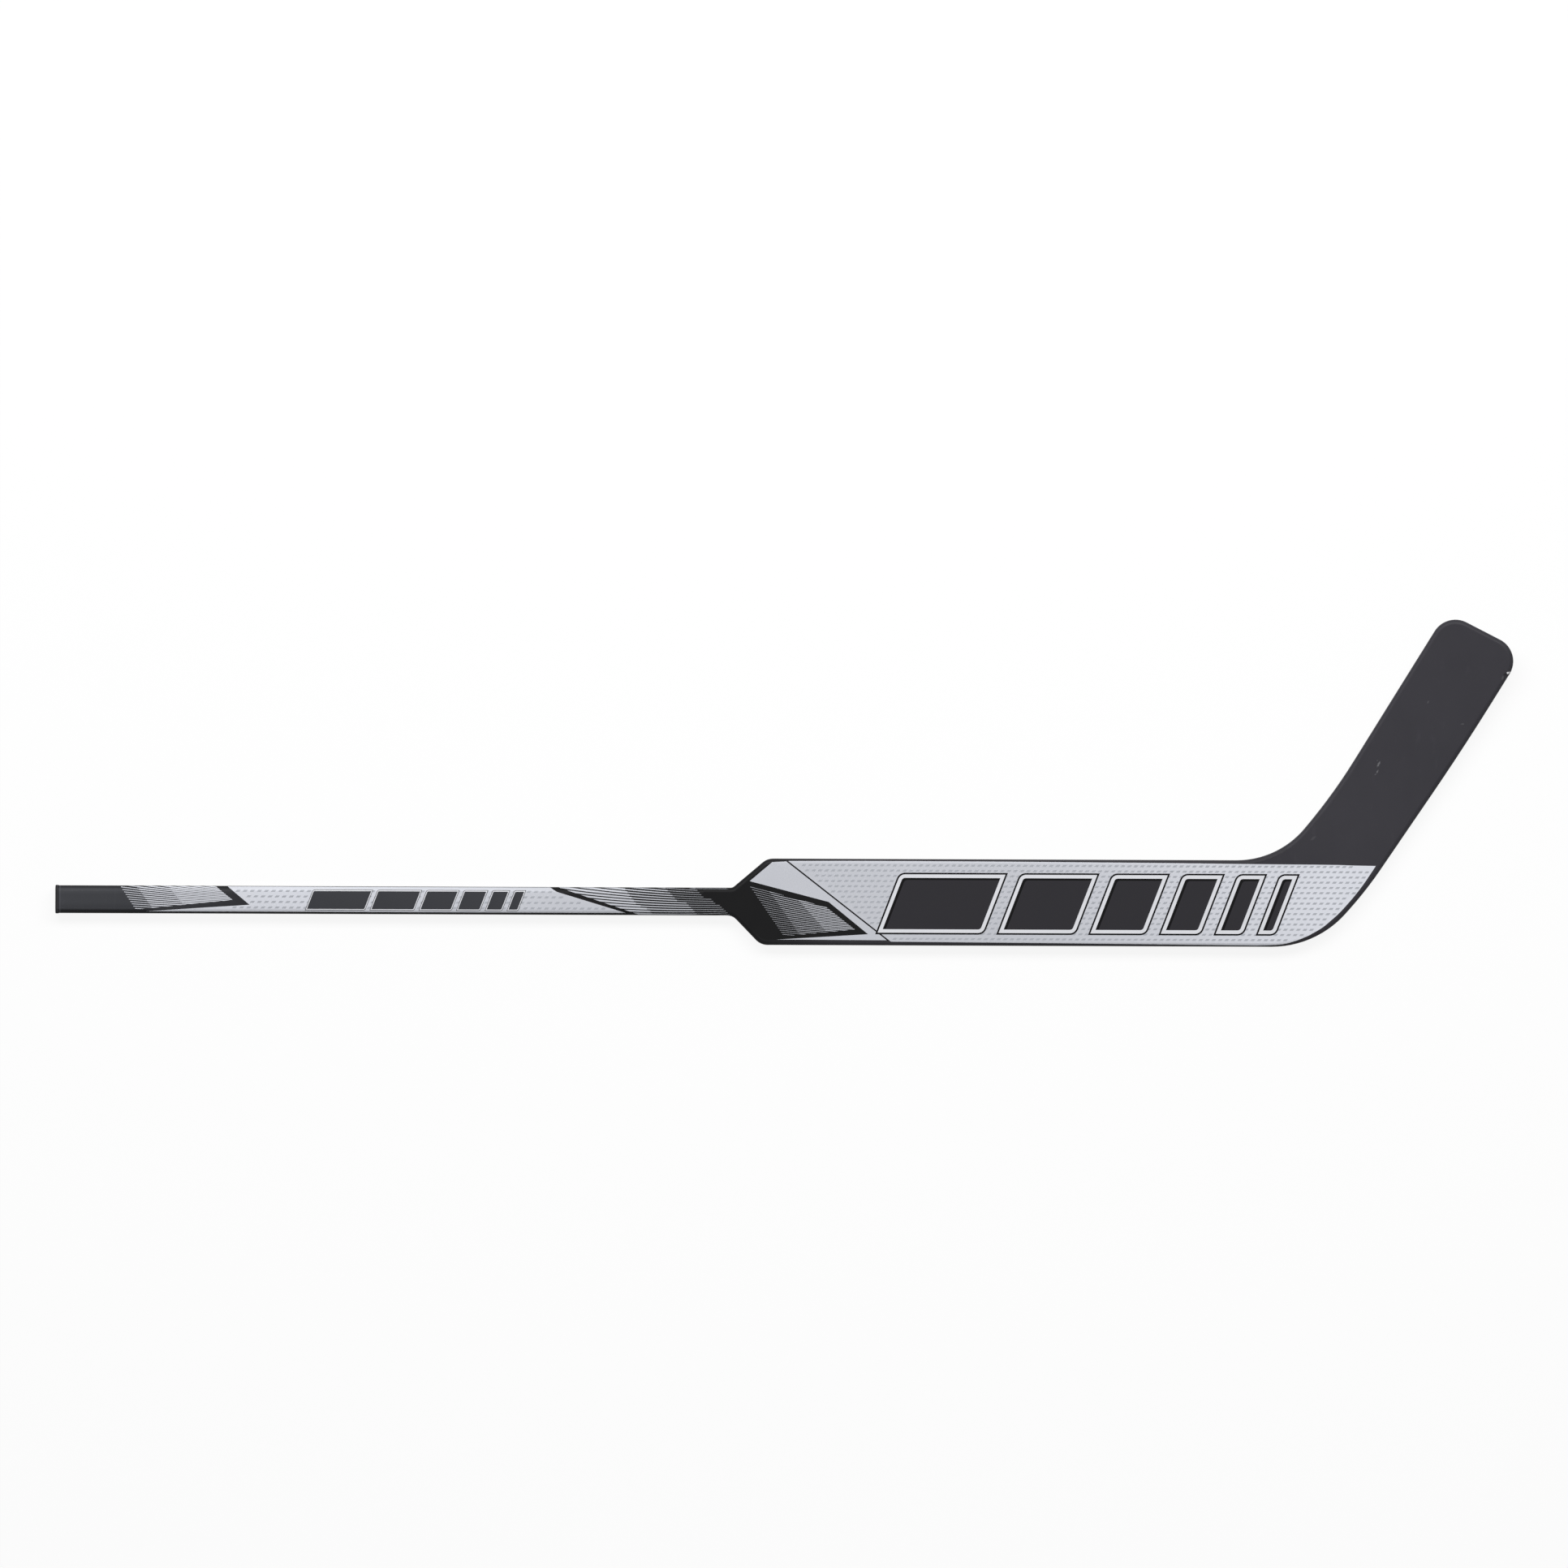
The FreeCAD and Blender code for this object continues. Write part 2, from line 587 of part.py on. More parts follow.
# Films of the paddle: inside the bands, and cut off under the blade by a line that falls to the heel
film_zone = half_space("film_zone", "worked.crook_start_x - dims.film_fall_start",
                       "worked.paddle_half - dims.paddle_band", "-dims.film_fall")
film_block = cut("film_block", inner_block, film_zone)
slab_edges = rectangle("-worked.reach", "worked.reach", "-worked.reach", "worked.reach")
front_film_slab = plate("front_film_slab", slab_edges, [None] * 4, f"{FRONT} - dims.film_thickness",
                        "dims.film_thickness")
back_film_slab = plate("back_film_slab", slab_edges, [None] * 4, "0", "dims.film_thickness")
paddle_film_front = common("paddle_film_front", film_block, front_film_slab)
paddle_film_back = common("paddle_film_back", film_block, back_film_slab)

# Edges: the ring between the rounded outside and the panel
whole_stick = round_outer_edges("whole_stick", common("whole_raw", whole_block, whole_layer))
edge_ring = cut("edge_ring", whole_stick, panel_block)
paddle_ring = cut("paddle_ring", edge_ring, blade_zone)
paddle_edge_upper = common("paddle_edge_upper", paddle_ring, upper_zone)
paddle_edge_lower = cut("paddle_edge_lower", paddle_ring, upper_zone)
blade_edge_wrap = common("blade_edge_wrap", edge_ring, blade_zone)

# Skins, with the film let into them
front_sheet = common("front_sheet", inner_block, front_layer)
back_sheet = common("back_sheet", inner_block, back_layer)
paddle_front_skin = cut("paddle_front_skin", front_sheet, blade_zone, paddle_film_front)
paddle_back_skin = cut("paddle_back_skin", back_sheet, blade_zone, paddle_film_back)
blade_front_skin = cut("blade_front_skin", common("blade_front_sheet", front_sheet, blade_zone),
                       paddle_film_front)
blade_back_skin = cut("blade_back_skin", common("blade_back_sheet", back_sheet, blade_zone),
                      paddle_film_back)

# Shaft, plug and tenon
shaft_tube = make_shaft_tube()
butt_end_plug = make_butt_end_plug()
shaft_film_front = make_shaft_film("shaft_film_front", True)
shaft_film_back = make_shaft_film("shaft_film_back", False)
shaft_tenon = make_shaft_tenon()

# Stiffeners
RIB_HALF = "dims.rib_thickness / 2"
SPINE_END = "dims.heel_distance - dims.spine_setback"
spine_edges = rectangle("dims.tenon_in_paddle", SPINE_END, f"-{RIB_HALF}", RIB_HALF)
paddle_spine = plate("paddle_spine", spine_edges, [None] * 4, BACK_INSIDE,
                     "dims.stick_thickness - 2 * worked.skin_depth")

heel_tenon = new_body("heel_tenon", x="worked.mitre_x",
                      z="(dims.stick_thickness - dims.heel_tenon_thickness) / 2", turn="dims.lie_angle / 2")
heel_tenon_edges = centred_rectangle("dims.heel_tenon_length / 2", "-dims.heel_tenon_width / 2",
                                     "dims.heel_tenon_width / 2")
heel_tenon_outline = new_sketch(heel_tenon, "heel_tenon_outline", "XY_Plane", heel_tenon_edges,
                                ["dims.heel_tenon_corner"] * 4)
add_feature("Pad", heel_tenon, "heel_tenon_pad", heel_tenon_outline, "dims.heel_tenon_thickness")

rib_block = new_body("rib_block", x="worked.middle_x", y="worked.middle_y", turn="dims.lie_angle")
RIB_END = "dims.toe_distance - dims.blade_rib_setback"
rib_edges = rectangle(f"{RIB_END} - dims.blade_rib_length", RIB_END, f"-{RIB_HALF}", RIB_HALF)
rib_outline = new_sketch(rib_block, "rib_outline", "XY_Plane", rib_edges, [None] * 4)
add_feature("Pad", rib_block, "rib_pad", rib_outline, "worked.tall", side="Symmetric")
blade_rib = common("blade_rib", rib_block, core_layer)

# Foam cores, each in two halves with beds for the tenons and the stiffeners
core = common("core", core_block, core_layer)
paddle_core = cut("paddle_core", core, blade_zone, shaft_tenon, paddle_spine, heel_tenon)
paddle_core_upper = common("paddle_core_upper", paddle_core, upper_zone)
paddle_core_lower = cut("paddle_core_lower", paddle_core, upper_zone)
blade_core = cut("blade_core", common("blade_core_whole", core, blade_zone), heel_tenon, blade_rib)
blade_core_upper = common("blade_core_upper", blade_core, blade_upper_zone)
blade_core_lower = cut("blade_core_lower", blade_core, blade_upper_zone)

NODES = [
    shaft_tube, butt_end_plug, shaft_film_front, shaft_film_back, shaft_tenon,
    paddle_edge_upper, paddle_edge_lower, paddle_front_skin, paddle_back_skin,
    paddle_film_front, paddle_film_back, paddle_core_upper, paddle_core_lower, paddle_spine,
    heel_tenon, blade_edge_wrap, blade_front_skin, blade_back_skin,
    blade_core_upper, blade_core_lower, blade_rib,
]

doc.recompute()
for item in doc.Objects:
    if "Invalid" in item.State or "Error" in item.State:
        raise RuntimeError(f"{item.Label} failed: {item.State}")
for node in NODES:
    shape = node.Shape
    if shape.isNull() or not shape.isValid() or len(shape.Solids) != 1:
        raise RuntimeError(f"{node.Label} isn't one valid solid")
    box = shape.BoundBox
    print(f"{node.Label}: {shape.Volume:.0f} mm3, x {box.XMin:.1f} to {box.XMax:.1f},"
          f" y {box.YMin:.1f} to {box.YMax:.1f}, z {box.ZMin:.2f} to {box.ZMax:.2f}")

os.makedirs("parts", exist_ok=True)
for node in NODES:
    node.Shape.exportStep(f"parts/{node.Label}.step")
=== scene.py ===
import math

import bpy
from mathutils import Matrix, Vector
from mathutils.bvhtree import BVHTree
from mathutils.geometry import tessellate_polygon


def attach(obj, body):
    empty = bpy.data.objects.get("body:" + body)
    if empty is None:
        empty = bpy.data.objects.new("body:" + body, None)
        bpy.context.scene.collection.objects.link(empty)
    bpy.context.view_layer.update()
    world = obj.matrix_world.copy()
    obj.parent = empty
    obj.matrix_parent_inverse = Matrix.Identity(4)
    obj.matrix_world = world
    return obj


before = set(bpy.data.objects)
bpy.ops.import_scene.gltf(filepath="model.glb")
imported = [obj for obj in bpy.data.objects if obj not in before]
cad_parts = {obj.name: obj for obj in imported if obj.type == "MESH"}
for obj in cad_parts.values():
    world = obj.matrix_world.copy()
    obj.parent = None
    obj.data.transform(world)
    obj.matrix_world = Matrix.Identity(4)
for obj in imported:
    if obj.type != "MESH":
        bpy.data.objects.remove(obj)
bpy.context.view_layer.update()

# The layout is in millimetres of the row frame: x runs from the butt to the heel, y across the paddle to
# the toe's side, and the printed front looks up. The studio at the end is in metres.
MM = 0.001
FRONT = 1
BACK = -1
SIDES = {"front": FRONT, "back": BACK}

# The print lies on the stick in four thin layers: silver with stripes, small marks, blocks, and the
# blocks' faces.
BASE_LIFT = 0.06
MARK_LIFT = 0.10
BLOCK_LIFT = 0.14
FACE_LIFT = 0.18
FILM_THICKNESS = 0.035

# The paddle is flat up to PADDLE_FLAT and down to PADDLE_FLAT_LOW, and the shaft to SHAFT_FLAT on both
# sides. Beyond that the print bends over rounded edges, so it is cut into narrow rows there.
PADDLE_FLAT = 40.0
PADDLE_FLAT_LOW = -34.0
UPPER_ROW = 0.75
LOWER_ROW = 0.5
PADDLE_ROWS = ([PADDLE_FLAT + UPPER_ROW * i for i in range(6)]
               + [PADDLE_FLAT_LOW - LOWER_ROW * i for i in range(21)])
SHAFT_FLAT = 8.8
SHAFT_CORNER = 5.5
CORNER_ANGLES = [math.radians(6 * i) for i in range(13)]
CORNER_ROWS = [SHAFT_FLAT + SHAFT_CORNER * math.sin(angle) for angle in CORNER_ANGLES]
SHAFT_ROWS = [-y for y in CORNER_ROWS] + CORNER_ROWS

# It is cut into columns where the shaft meets the neck, at the paddle's shoulder and at the heel, and into
# steps along the heel's round border.
NECK_START = -32.0
NECK_COLUMN = 0.5
SHAFT_COLUMNS = [NECK_START + NECK_COLUMN * i for i in range(9)]
SHOULDER_COLUMN = 6.0
HEEL_START = 530.0
HEEL_COLUMN = 1.0
PADDLE_COLUMNS = ([SHOULDER_COLUMN * i for i in range(3, 13)]
                  + [HEEL_START + HEEL_COLUMN * i for i in range(72)])
HEEL_STEP = 0.5
HEEL_STEPS = [HEEL_STEP * i for i in range(1, 13)] + [8.0, 11.0]
SHOULDER_STEP = 0.6
SHOULDER_CUTS = 6

# What is smaller than this counts as nothing, and points that agree to so many digits are one point.
NO_LENGTH = 1e-4
NO_AREA = 1e-9
POINT_DIGITS = 2


# Plane geometry

def clip(polygon, normal, limit):
    """The part of a convex polygon on which normal . point is at most limit."""
    kept = []
    for i, (x0, y0) in enumerate(polygon):
        x1, y1 = polygon[(i + 1) % len(polygon)]
        d0 = normal[0] * x0 + normal[1] * y0 - limit
        d1 = normal[0] * x1 + normal[1] * y1 - limit
        if d0 <= 0:
            kept.append((x0, y0))
        if d0 * d1 < 0:
            t = d0 / (d0 - d1)
            kept.append((x0 + t * (x1 - x0), y0 + t * (y1 - y0)))
    return kept if len(kept) > 2 else []


def divide(polygons, normal, cuts):
    """Convex polygons cut apart at each of the parallel lines normal . point = cut."""
    opposite = (-normal[0], -normal[1])
    for cut in cuts:
        divided = []
        for polygon in polygons:
            offsets = [normal[0] * x + normal[1] * y - cut for x, y in polygon]
            if min(offsets) < -NO_LENGTH and max(offsets) > NO_LENGTH:
                divided += [clip(polygon, normal, cut), clip(polygon, opposite, -cut)]
            else:
                divided.append(polygon)
        polygons = divided
    return polygons


def signed_area(polygon):
    """The area of a polygon, below 0 if its points run clockwise."""
    pairs = zip(polygon, polygon[1:] + polygon[:1])
    return sum(x0 * y1 - x1 * y0 for (x0, y0), (x1, y1) in pairs) / 2


def clip_to(polygon, zone):
    """The part of a convex polygon inside a convex zone."""
    turn = 1 if signed_area(zone) > 0 else -1
    for (x0, y0), (x1, y1) in zip(zone, zone[1:] + zone[:1]):
        normal = (turn * (y1 - y0), turn * (x0 - x1))
        polygon = clip(polygon, normal, normal[0] * x0 + normal[1] * y0)
        if not polygon:
            break
    return polygon


def triangles(outline):
    """Triangles that fill a plain outline."""
    loop = [Vector((x, y, 0)) for x, y in outline]
    return [[outline[i] for i in corner] for corner in tessellate_polygon([loop])]


def height_on(line, x):
    """The height at x of a line that runs from left to right."""
    for (x0, y0), (x1, y1) in zip(line, line[1:]):
        if x0 <= x <= x1:
            return y0 + (y1 - y0) * (x - x0) / (x1 - x0)
    raise ValueError(f"the line doesn't reach {x:.1f}")


def strips(top, low, steps):
    """Upright strips between two lines from left to right, cut apart at steps above the lower line."""
    places = sorted({x for x, _ in top + low})
    patches = []
    for x0, x1 in zip(places, places[1:]):
        sides = []
        for x in (x0, x1):
            start, end = height_on(low, x), height_on(top, x)
            sides.append([(x, min(start + step, end)) for step in [0.0] + steps] + [(x, end)])
        left, right = sides
        for a, b, c, d in zip(left, right, right[1:], left[1:]):
            if abs(signed_area([a, b, c, d])) > NO_AREA:
                patches.append([a, b, c, d])
    return patches


def inset(polygon, distance):
    """A convex counter-clockwise polygon with every side moved inwards."""
    sides = []
    for (x0, y0), (x1, y1) in zip(polygon, polygon[1:] + polygon[:1]):
        length = math.hypot(x1 - x0, y1 - y0)
        nx, ny = (y1 - y0) / length, (x0 - x1) / length
        sides.append((nx, ny, nx * x0 + ny * y0 - distance))
    moved = []
    for (ax, ay, ac), (bx, by, bc) in zip(sides[-1:] + sides[:-1], sides):
        cross = ax * by - ay * bx
        moved.append(((ac * by - bc * ay) / cross, (ax * bc - bx * ac) / cross))
    return moved


def ring(outer, inner):
    """Four-sided patches between an outline and the like outline inside it."""
    count = len(outer)
    return [[outer[i], outer[(i + 1) % count], inner[(i + 1) % count], inner[i]] for i in range(count)]


def inside(point, outline):
    """Whether a point lies inside an outline."""
    x, y = point
    odd = False
    for (x0, y0), (x1, y1) in zip(outline, outline[1:] + outline[:1]):
        if (y0 > y) != (y1 > y) and x < x0 + (y - y0) * (x1 - x0) / (y1 - y0):
            odd = not odd
    return odd


# Laying the print on the stick

PRINTED_NODES = [
    "shaft_tube", "shaft_film_front", "shaft_film_back", "paddle_film_front", "paddle_film_back",
    "paddle_edge_upper", "paddle_edge_lower", "paddle_front_skin", "paddle_back_skin", "blade_edge_wrap",
    "blade_front_skin", "blade_back_skin",
]


def stick_surface():
    """The solids that carry the print, as one surface for ray casts."""
    points, faces = [], []
    for name in PRINTED_NODES:
        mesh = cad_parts[name].data
        first = len(points)
        points += [v.co.copy() for v in mesh.vertices]
        faces += [[first + i for i in p.vertices] for p in mesh.polygons]
    return BVHTree.FromPolygons(points, faces)


surface = stick_surface()
CAST_FROM = 200.0
SEAM_REACH = 0.3
SEAM_DEPTH = 0.05
SHARP_ANGLE = 35


def cast(x, y, side):
    """The first point of the stick that lies under x, y on one side, and the normal there."""
    down = Vector((0, 0, -side))
    hit, normal, _, _ = surface.ray_cast(Vector((x * MM, y * MM, CAST_FROM * MM * side)), down)
    if hit is not None and normal.dot(down) > 0:
        normal = -normal
    return hit, normal


def drape(x, y, side):
    """Where the stick's front or back lies at x, y, and its normal there. Glue seams are bridged."""
    hit, normal = cast(x, y, side)
    if hit is None:
        raise ValueError(f"the print leaves the stick at {x:.1f}, {y:.1f}")
    for dx, dy in ((SEAM_REACH, 0), (0, SEAM_REACH)):
        (one, one_normal), (other, other_normal) = cast(x - dx, y - dy, side), cast(x + dx, y + dy, side)
        if one is None or other is None:
            continue
        if min((one.z - hit.z) * side, (other.z - hit.z) * side) > SEAM_DEPTH * MM:
            return (one + other) / 2, (one_normal + other_normal).normalized()
    return hit, normal


def film_mesh(name, polygons, lift, side):
    """A closed thin film over convex patches, lifted off the stick's surface."""
    index, places, patches = {}, [], []
    for polygon in polygons:
        if (signed_area(polygon) > 0) != (side == FRONT):
            polygon = polygon[::-1]
        patch = []
        for x, y in polygon:
            key = (round(x, POINT_DIGITS), round(y, POINT_DIGITS))
            if key not in index:
                index[key] = len(places)
                places.append(drape(x, y, side))
            if index[key] not in patch:
                patch.append(index[key])
        if len(patch) > 2:
            patches.append(patch)
    count = len(places)
    top = [hit + normal * (lift * MM) for hit, normal in places]
    low = [hit + normal * ((lift - FILM_THICKNESS) * MM) for hit, normal in places]
    edges = [edge for patch in patches for edge in zip(patch, patch[1:] + patch[:1])]
    known = set(edges)
    rim = [[b, a, a + count, b + count] for a, b in edges if (b, a) not in known]
    under = [[i + count for i in reversed(patch)] for patch in patches]
    mesh = bpy.data.meshes.new(name)
    mesh.from_pydata(top + low, [], patches + under + rim)
    mesh.validate()
    mesh.shade_smooth()
    mesh.set_sharp_from_angle(angle=math.radians(SHARP_ANGLE))
    return mesh


def print_piece(name, polygons, lift, side, material):
    """One ink of the print on one side, as a piece that goes with the stick."""
    piece = bpy.data.objects.new(name, film_mesh(name, polygons, lift, side))
    bpy.context.scene.collection.objects.link(piece)
    piece.data.materials.append(material)
    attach(piece, "stick")


# Materials

def linear(red, green, blue):
    """A screen colour from 0 to 255 as the light that it stands for."""
    def one(value):
        value /= 255
        return value / 12.92 if value <= 0.04045 else ((value + 0.055) / 1.055) ** 2.4
    return (one(red), one(green), one(blue), 1.0)


# Wear that the photo shows on the blade: place, half length, half width, angle and strength.
BLADE_RUBS = [
    ((664.5, 144.0), 3.6, 1.2, 61, 0.2),
    ((663.2, 136.4), 2.3, 1.0, 70, 0.16),
    ((661.2, 133.4), 1.2, 0.9, 45, 0.09),
    ((663.2, 147.8), 1.0, 0.8, 45, 0.06),
    ((715.0, 208.0), 1.8, 0.9, 60, 0.06),
    ((750.5, 185.5), 2.4, 0.8, 10, 0.07),
    ((597.5, 67.5), 4.0, 1.5, 40, 0.04),
    ((791.6, 233.0), 2.6, 1.2, 75, 0.07),
]
TOE_GOUGE = ((794.2, 237.0), 2.6, 1.5, 15, 0.8)
TOE_CHIP = ((797.5, 238.5), 2.2, 1.5, 30, 1.0)
RUB_TEAR = 0.5
GOUGE_TEAR = 0.4
CHIP_TEAR = 0.6
RUB_COLOUR = linear(196, 196, 200)
GOUGE_COLOUR = linear(22, 22, 24)
CHIP_COLOUR = linear(232, 232, 234)

# Painted shade darkens the shaft's narrow sides, from its rounded corners outwards. Its coat is a little
# thicker along the middle of the face, which gives the face a soft crown, and evens out towards the neck; so
# does the painted shade.
COLOUR_MIDDLE = 0.9
SIDE_SHADE_START = 9.9
SIDE_SHADE_END = 12.6
SIDE_SHADE_SHARE = 0.85
SIDE_SHADE_COLOUR = linear(15, 15, 16)
CROWN_START = 4.2
CROWN_END = 10.6
CROWN_SLOPE = 0.19
NECK_FADE = (-170.0, -35.0)

# Narrow bands round the butt's end: a painted highlight on the tube's rim, a painted shadow in the gap by the
# flange, and a painted highlight on the flange's edge. Each gives start, end, width of the soft border, and
# strength.
TUBE_END_HIGHLIGHT = (-692.7, -691.7, 0.6, 0.35)
TUBE_END_SHADOW = (-694.2, -693.6, 0.3, 0.7)
FLANGE_HIGHLIGHT = (-695.2, -694.8, 0.35, 0.6)

# The silver turns paler towards the grip and towards the heel: from where to where, and how.
PALE_GRIP = (-50.0, -450.0)
PALE_GRIP_SHARE = 0.7
PALE_HEEL = (250.0, 620.0)
PALE_HEEL_POWER = 1.6


class Shader:
    """A material with its nodes, and short ways to add the usual ones."""

    def __init__(self, name):
        self.material = bpy.data.materials.new(name)
        self.material.use_nodes = True
        self.tree = self.material.node_tree
        self.shader = self.tree.nodes["Principled BSDF"]
        self.place = self.add("ShaderNodeTexCoord").outputs["Object"]

    def add(self, kind, **settings):
        """A new node with some settings."""
        node = self.tree.nodes.new(kind)
        for key, value in settings.items():
            setattr(node, key, value)
        return node

    def connect(self, value, socket):
        """Link a node's output to a socket, or set the socket to a plain value."""
        if isinstance(value, bpy.types.NodeSocket):
            self.tree.links.new(value, socket)
        else:
            socket.default_value = value

    def feed(self, node, **values):
        """A node with its named inputs linked or set; _ stands for a space in a name."""
        for key, value in values.items():
            self.connect(value, node.inputs[key.replace("_", " ")])
        return node

    def noise(self, size_mm, detail=3.0, stretch=(1, 1, 1)):
        """Cloudy values from 0 to 1 with spots of about size_mm."""
        place = self.place
        if stretch != (1, 1, 1):
            mapping = self.feed(self.add("ShaderNodeMapping"), Vector=place, Scale=stretch)
            place = mapping.outputs["Vector"]
        node = self.feed(self.add("ShaderNodeTexNoise"), Vector=place, Scale=1000 / size_mm, Detail=detail)
        return node.outputs["Fac"]

    def flakes(self, size_mm):
        """A different value for each of many small cells."""
        cells = self.feed(self.add("ShaderNodeTexVoronoi"), Vector=self.place, Scale=1000 / size_mm)
        split = self.feed(self.add("ShaderNodeSeparateColor"), Color=cells.outputs["Color"])
        return split.outputs["Red"]

    def fit(self, value, low, high, to_low, to_high):
        """A value moved from one range to another, and held there."""
        node = self.add("ShaderNodeMapRange", clamp=True)
        names = {"From_Min": low, "From_Max": high, "To_Min": to_low, "To_Max": to_high}
        return self.feed(node, Value=value, **names).outputs["Result"]

    def math(self, operation, first, second):
        """The result of an operation on two values."""
        node = self.add("ShaderNodeMath", operation=operation)
        for socket, value in zip(node.inputs, (first, second)):
            self.connect(value, socket)
        return node.outputs["Value"]

    def mix(self, share, first, second):
        """A colour between two colours."""
        node = self.add("ShaderNodeMix", data_type="RGBA")
        for name, value in (("Factor_Float", share), ("A_Color", first), ("B_Color", second)):
            self.connect(value, next(s for s in node.inputs if s.identifier == name))
        return next(s for s in node.outputs if s.identifier == "Result_Color")

    def bump(self, height, depth_mm, strength, over=None):
        """A normal that follows a height, on top of another normal if one is given."""
        node = self.add("ShaderNodeBump")
        self.feed(node, Height=height, Distance=depth_mm * MM, Strength=strength)
        if over is not None:
            self.feed(node, Normal=over)
        return node.outputs["Normal"]

    def axis(self, name):
        """One coordinate of the row frame, in metres."""
        split = self.feed(self.add("ShaderNodeSeparateXYZ"), Vector=self.place)
        return split.outputs[name]

    def band(self, start, end, soft, strength):
        """The strength from x = start to x = end in mm, fading to 0 over a soft length outside."""
        x = self.axis("X")
        rise = self.fit(x, (start - soft) * MM, start * MM, 0, 1)
        full = self.math("MULTIPLY", rise, self.fit(x, end * MM, (end + soft) * MM, 1, 0))
        return self.math("MULTIPLY", full, strength)

    def finish(self, **values):
        """The material, with its shader's inputs linked or set."""
        self.feed(self.shader, **values)
        return self.material


def tint(colour, factor):
    """A colour made lighter or darker."""
    return tuple(min(1.0, c * factor) for c in colour[:3]) + (1.0,)


def from_middle(s):
    """The distance from the middle line of the crown and the painted side shade, which lies a little off the
    shaft's own towards +y, so that the painted shade starts sooner on the -y side.
    """
    return s.math("ABSOLUTE", s.math("SUBTRACT", s.axis("Y"), COLOUR_MIDDLE * MM), 0)


def to_neck(s):
    """1 along the shaft, falling to 0 where it runs into the paddle's neck."""
    return s.fit(s.axis("X"), NECK_FADE[0] * MM, NECK_FADE[1] * MM, 1, 0)


def crown(s):
    """A soft crown across the shaft's face: it steepens up to the rounded corner and eases out there."""
    beside = from_middle(s)
    rise = s.fit(beside, CROWN_START * MM, SHAFT_FLAT * MM, 0, 1)
    ease = s.fit(beside, SHAFT_FLAT * MM, CROWN_END * MM, 0, 1)
    steep = s.math("MULTIPLY", s.math("MULTIPLY", rise, rise), (SHAFT_FLAT - CROWN_START) / 2)
    soft = s.math("SUBTRACT", ease, s.math("MULTIPLY", s.math("MULTIPLY", ease, ease), 0.5))
    fall = s.math("ADD", steep, s.math("MULTIPLY", soft, CROWN_END - SHAFT_FLAT))
    return s.bump(s.math("MULTIPLY", s.math("MULTIPLY", fall, -CROWN_SLOPE), to_neck(s)), 1.0, 1.0)


def laminate(name, colours, turn, specular, crowned_and_shaded=False, worn=False):
    """A satin coat over fibre laminate. It turns from one colour to the other between two places in mm."""
    s = Shader(name)
    along = s.fit(s.axis("X"), turn[0] * MM, turn[1] * MM, 0, 1)
    clouds = s.noise(60, 4)
    grain = s.noise(0.55, 2)
    smears = s.noise(9, 5, stretch=(1, 0.35, 1))

    def shade(factor):
        return s.mix(along, tint(colours[0], factor), tint(colours[1], factor))

    base = s.mix(s.fit(clouds, 0.3, 0.7, 0, 1), shade(0.95), shade(1.05))
    base = s.mix(s.fit(grain, 0.4, 0.8, 0, 0.22), base, shade(1.5))
    base = s.mix(s.fit(smears, 0.62, 0.8, 0, 0.25), base, shade(1.7))
    if crowned_and_shaded:
        # Painted shade on the shaft's narrow sides, fading out towards the neck.
        side = s.fit(from_middle(s), SIDE_SHADE_START * MM, SIDE_SHADE_END * MM, 0, SIDE_SHADE_SHARE)
        base = s.mix(s.math("MULTIPLY", side, to_neck(s)), base, SIDE_SHADE_COLOUR)
        # A painted highlight on the tube's rim and a painted shadow in the gap by the flange.
        base = s.mix(s.band(*TUBE_END_HIGHLIGHT), base, shade(2.0))
        base = s.mix(s.band(*TUBE_END_SHADOW), base, SIDE_SHADE_COLOUR)
    if worn:
        for rub in BLADE_RUBS:
            base = s.mix(spot(s, *rub, RUB_TEAR), base, RUB_COLOUR)
        base = s.mix(spot(s, *TOE_GOUGE, GOUGE_TEAR), base, GOUGE_COLOUR)
        base = s.mix(spot(s, *TOE_CHIP, CHIP_TEAR), base, CHIP_COLOUR)
    return s.finish(
        Base_Color=base,
        Roughness=s.fit(smears, 0.3, 0.7, 0.42, 0.52),
        Specular_IOR_Level=specular,
        Normal=s.bump(grain, 0.05, 0.25, crown(s) if crowned_and_shaded else None),
    )


def silver_film(name, colour):
    """Silver ink under a clear coat: fine flakes and slow clouds."""
    s = Shader(name)
    flakes = s.flakes(0.35)
    clouds = s.noise(55, 3)
    along = s.axis("X")
    to_heel = s.math("POWER", s.fit(along, PALE_HEEL[0] * MM, PALE_HEEL[1] * MM, 0, 1), PALE_HEEL_POWER)
    to_grip = s.fit(along, PALE_GRIP[1] * MM, PALE_GRIP[0] * MM, PALE_GRIP_SHARE, 0.0)
    tone = s.math("MAXIMUM", to_grip, to_heel)
    pale = s.mix(s.fit(flakes, 0, 1, 0, 1), tint(colour, 1.02), tint(colour, 1.12))
    deep = s.mix(s.fit(flakes, 0, 1, 0, 1), tint(colour, 0.765), tint(colour, 0.835))
    base = s.mix(tone, deep, pale)
    base = s.mix(s.fit(clouds, 0.3, 0.7, 0, 0.25), base, tint(colour, 0.91))
    return s.finish(
        Base_Color=base,
        Metallic=0.2,
        Roughness=s.fit(flakes, 0, 1, 0.66, 0.76),
        Specular_IOR_Level=0.35,
        Coat_Weight=0.06,
        Coat_Roughness=0.25,
        Normal=s.bump(flakes, 0.01, 0.15),
    )


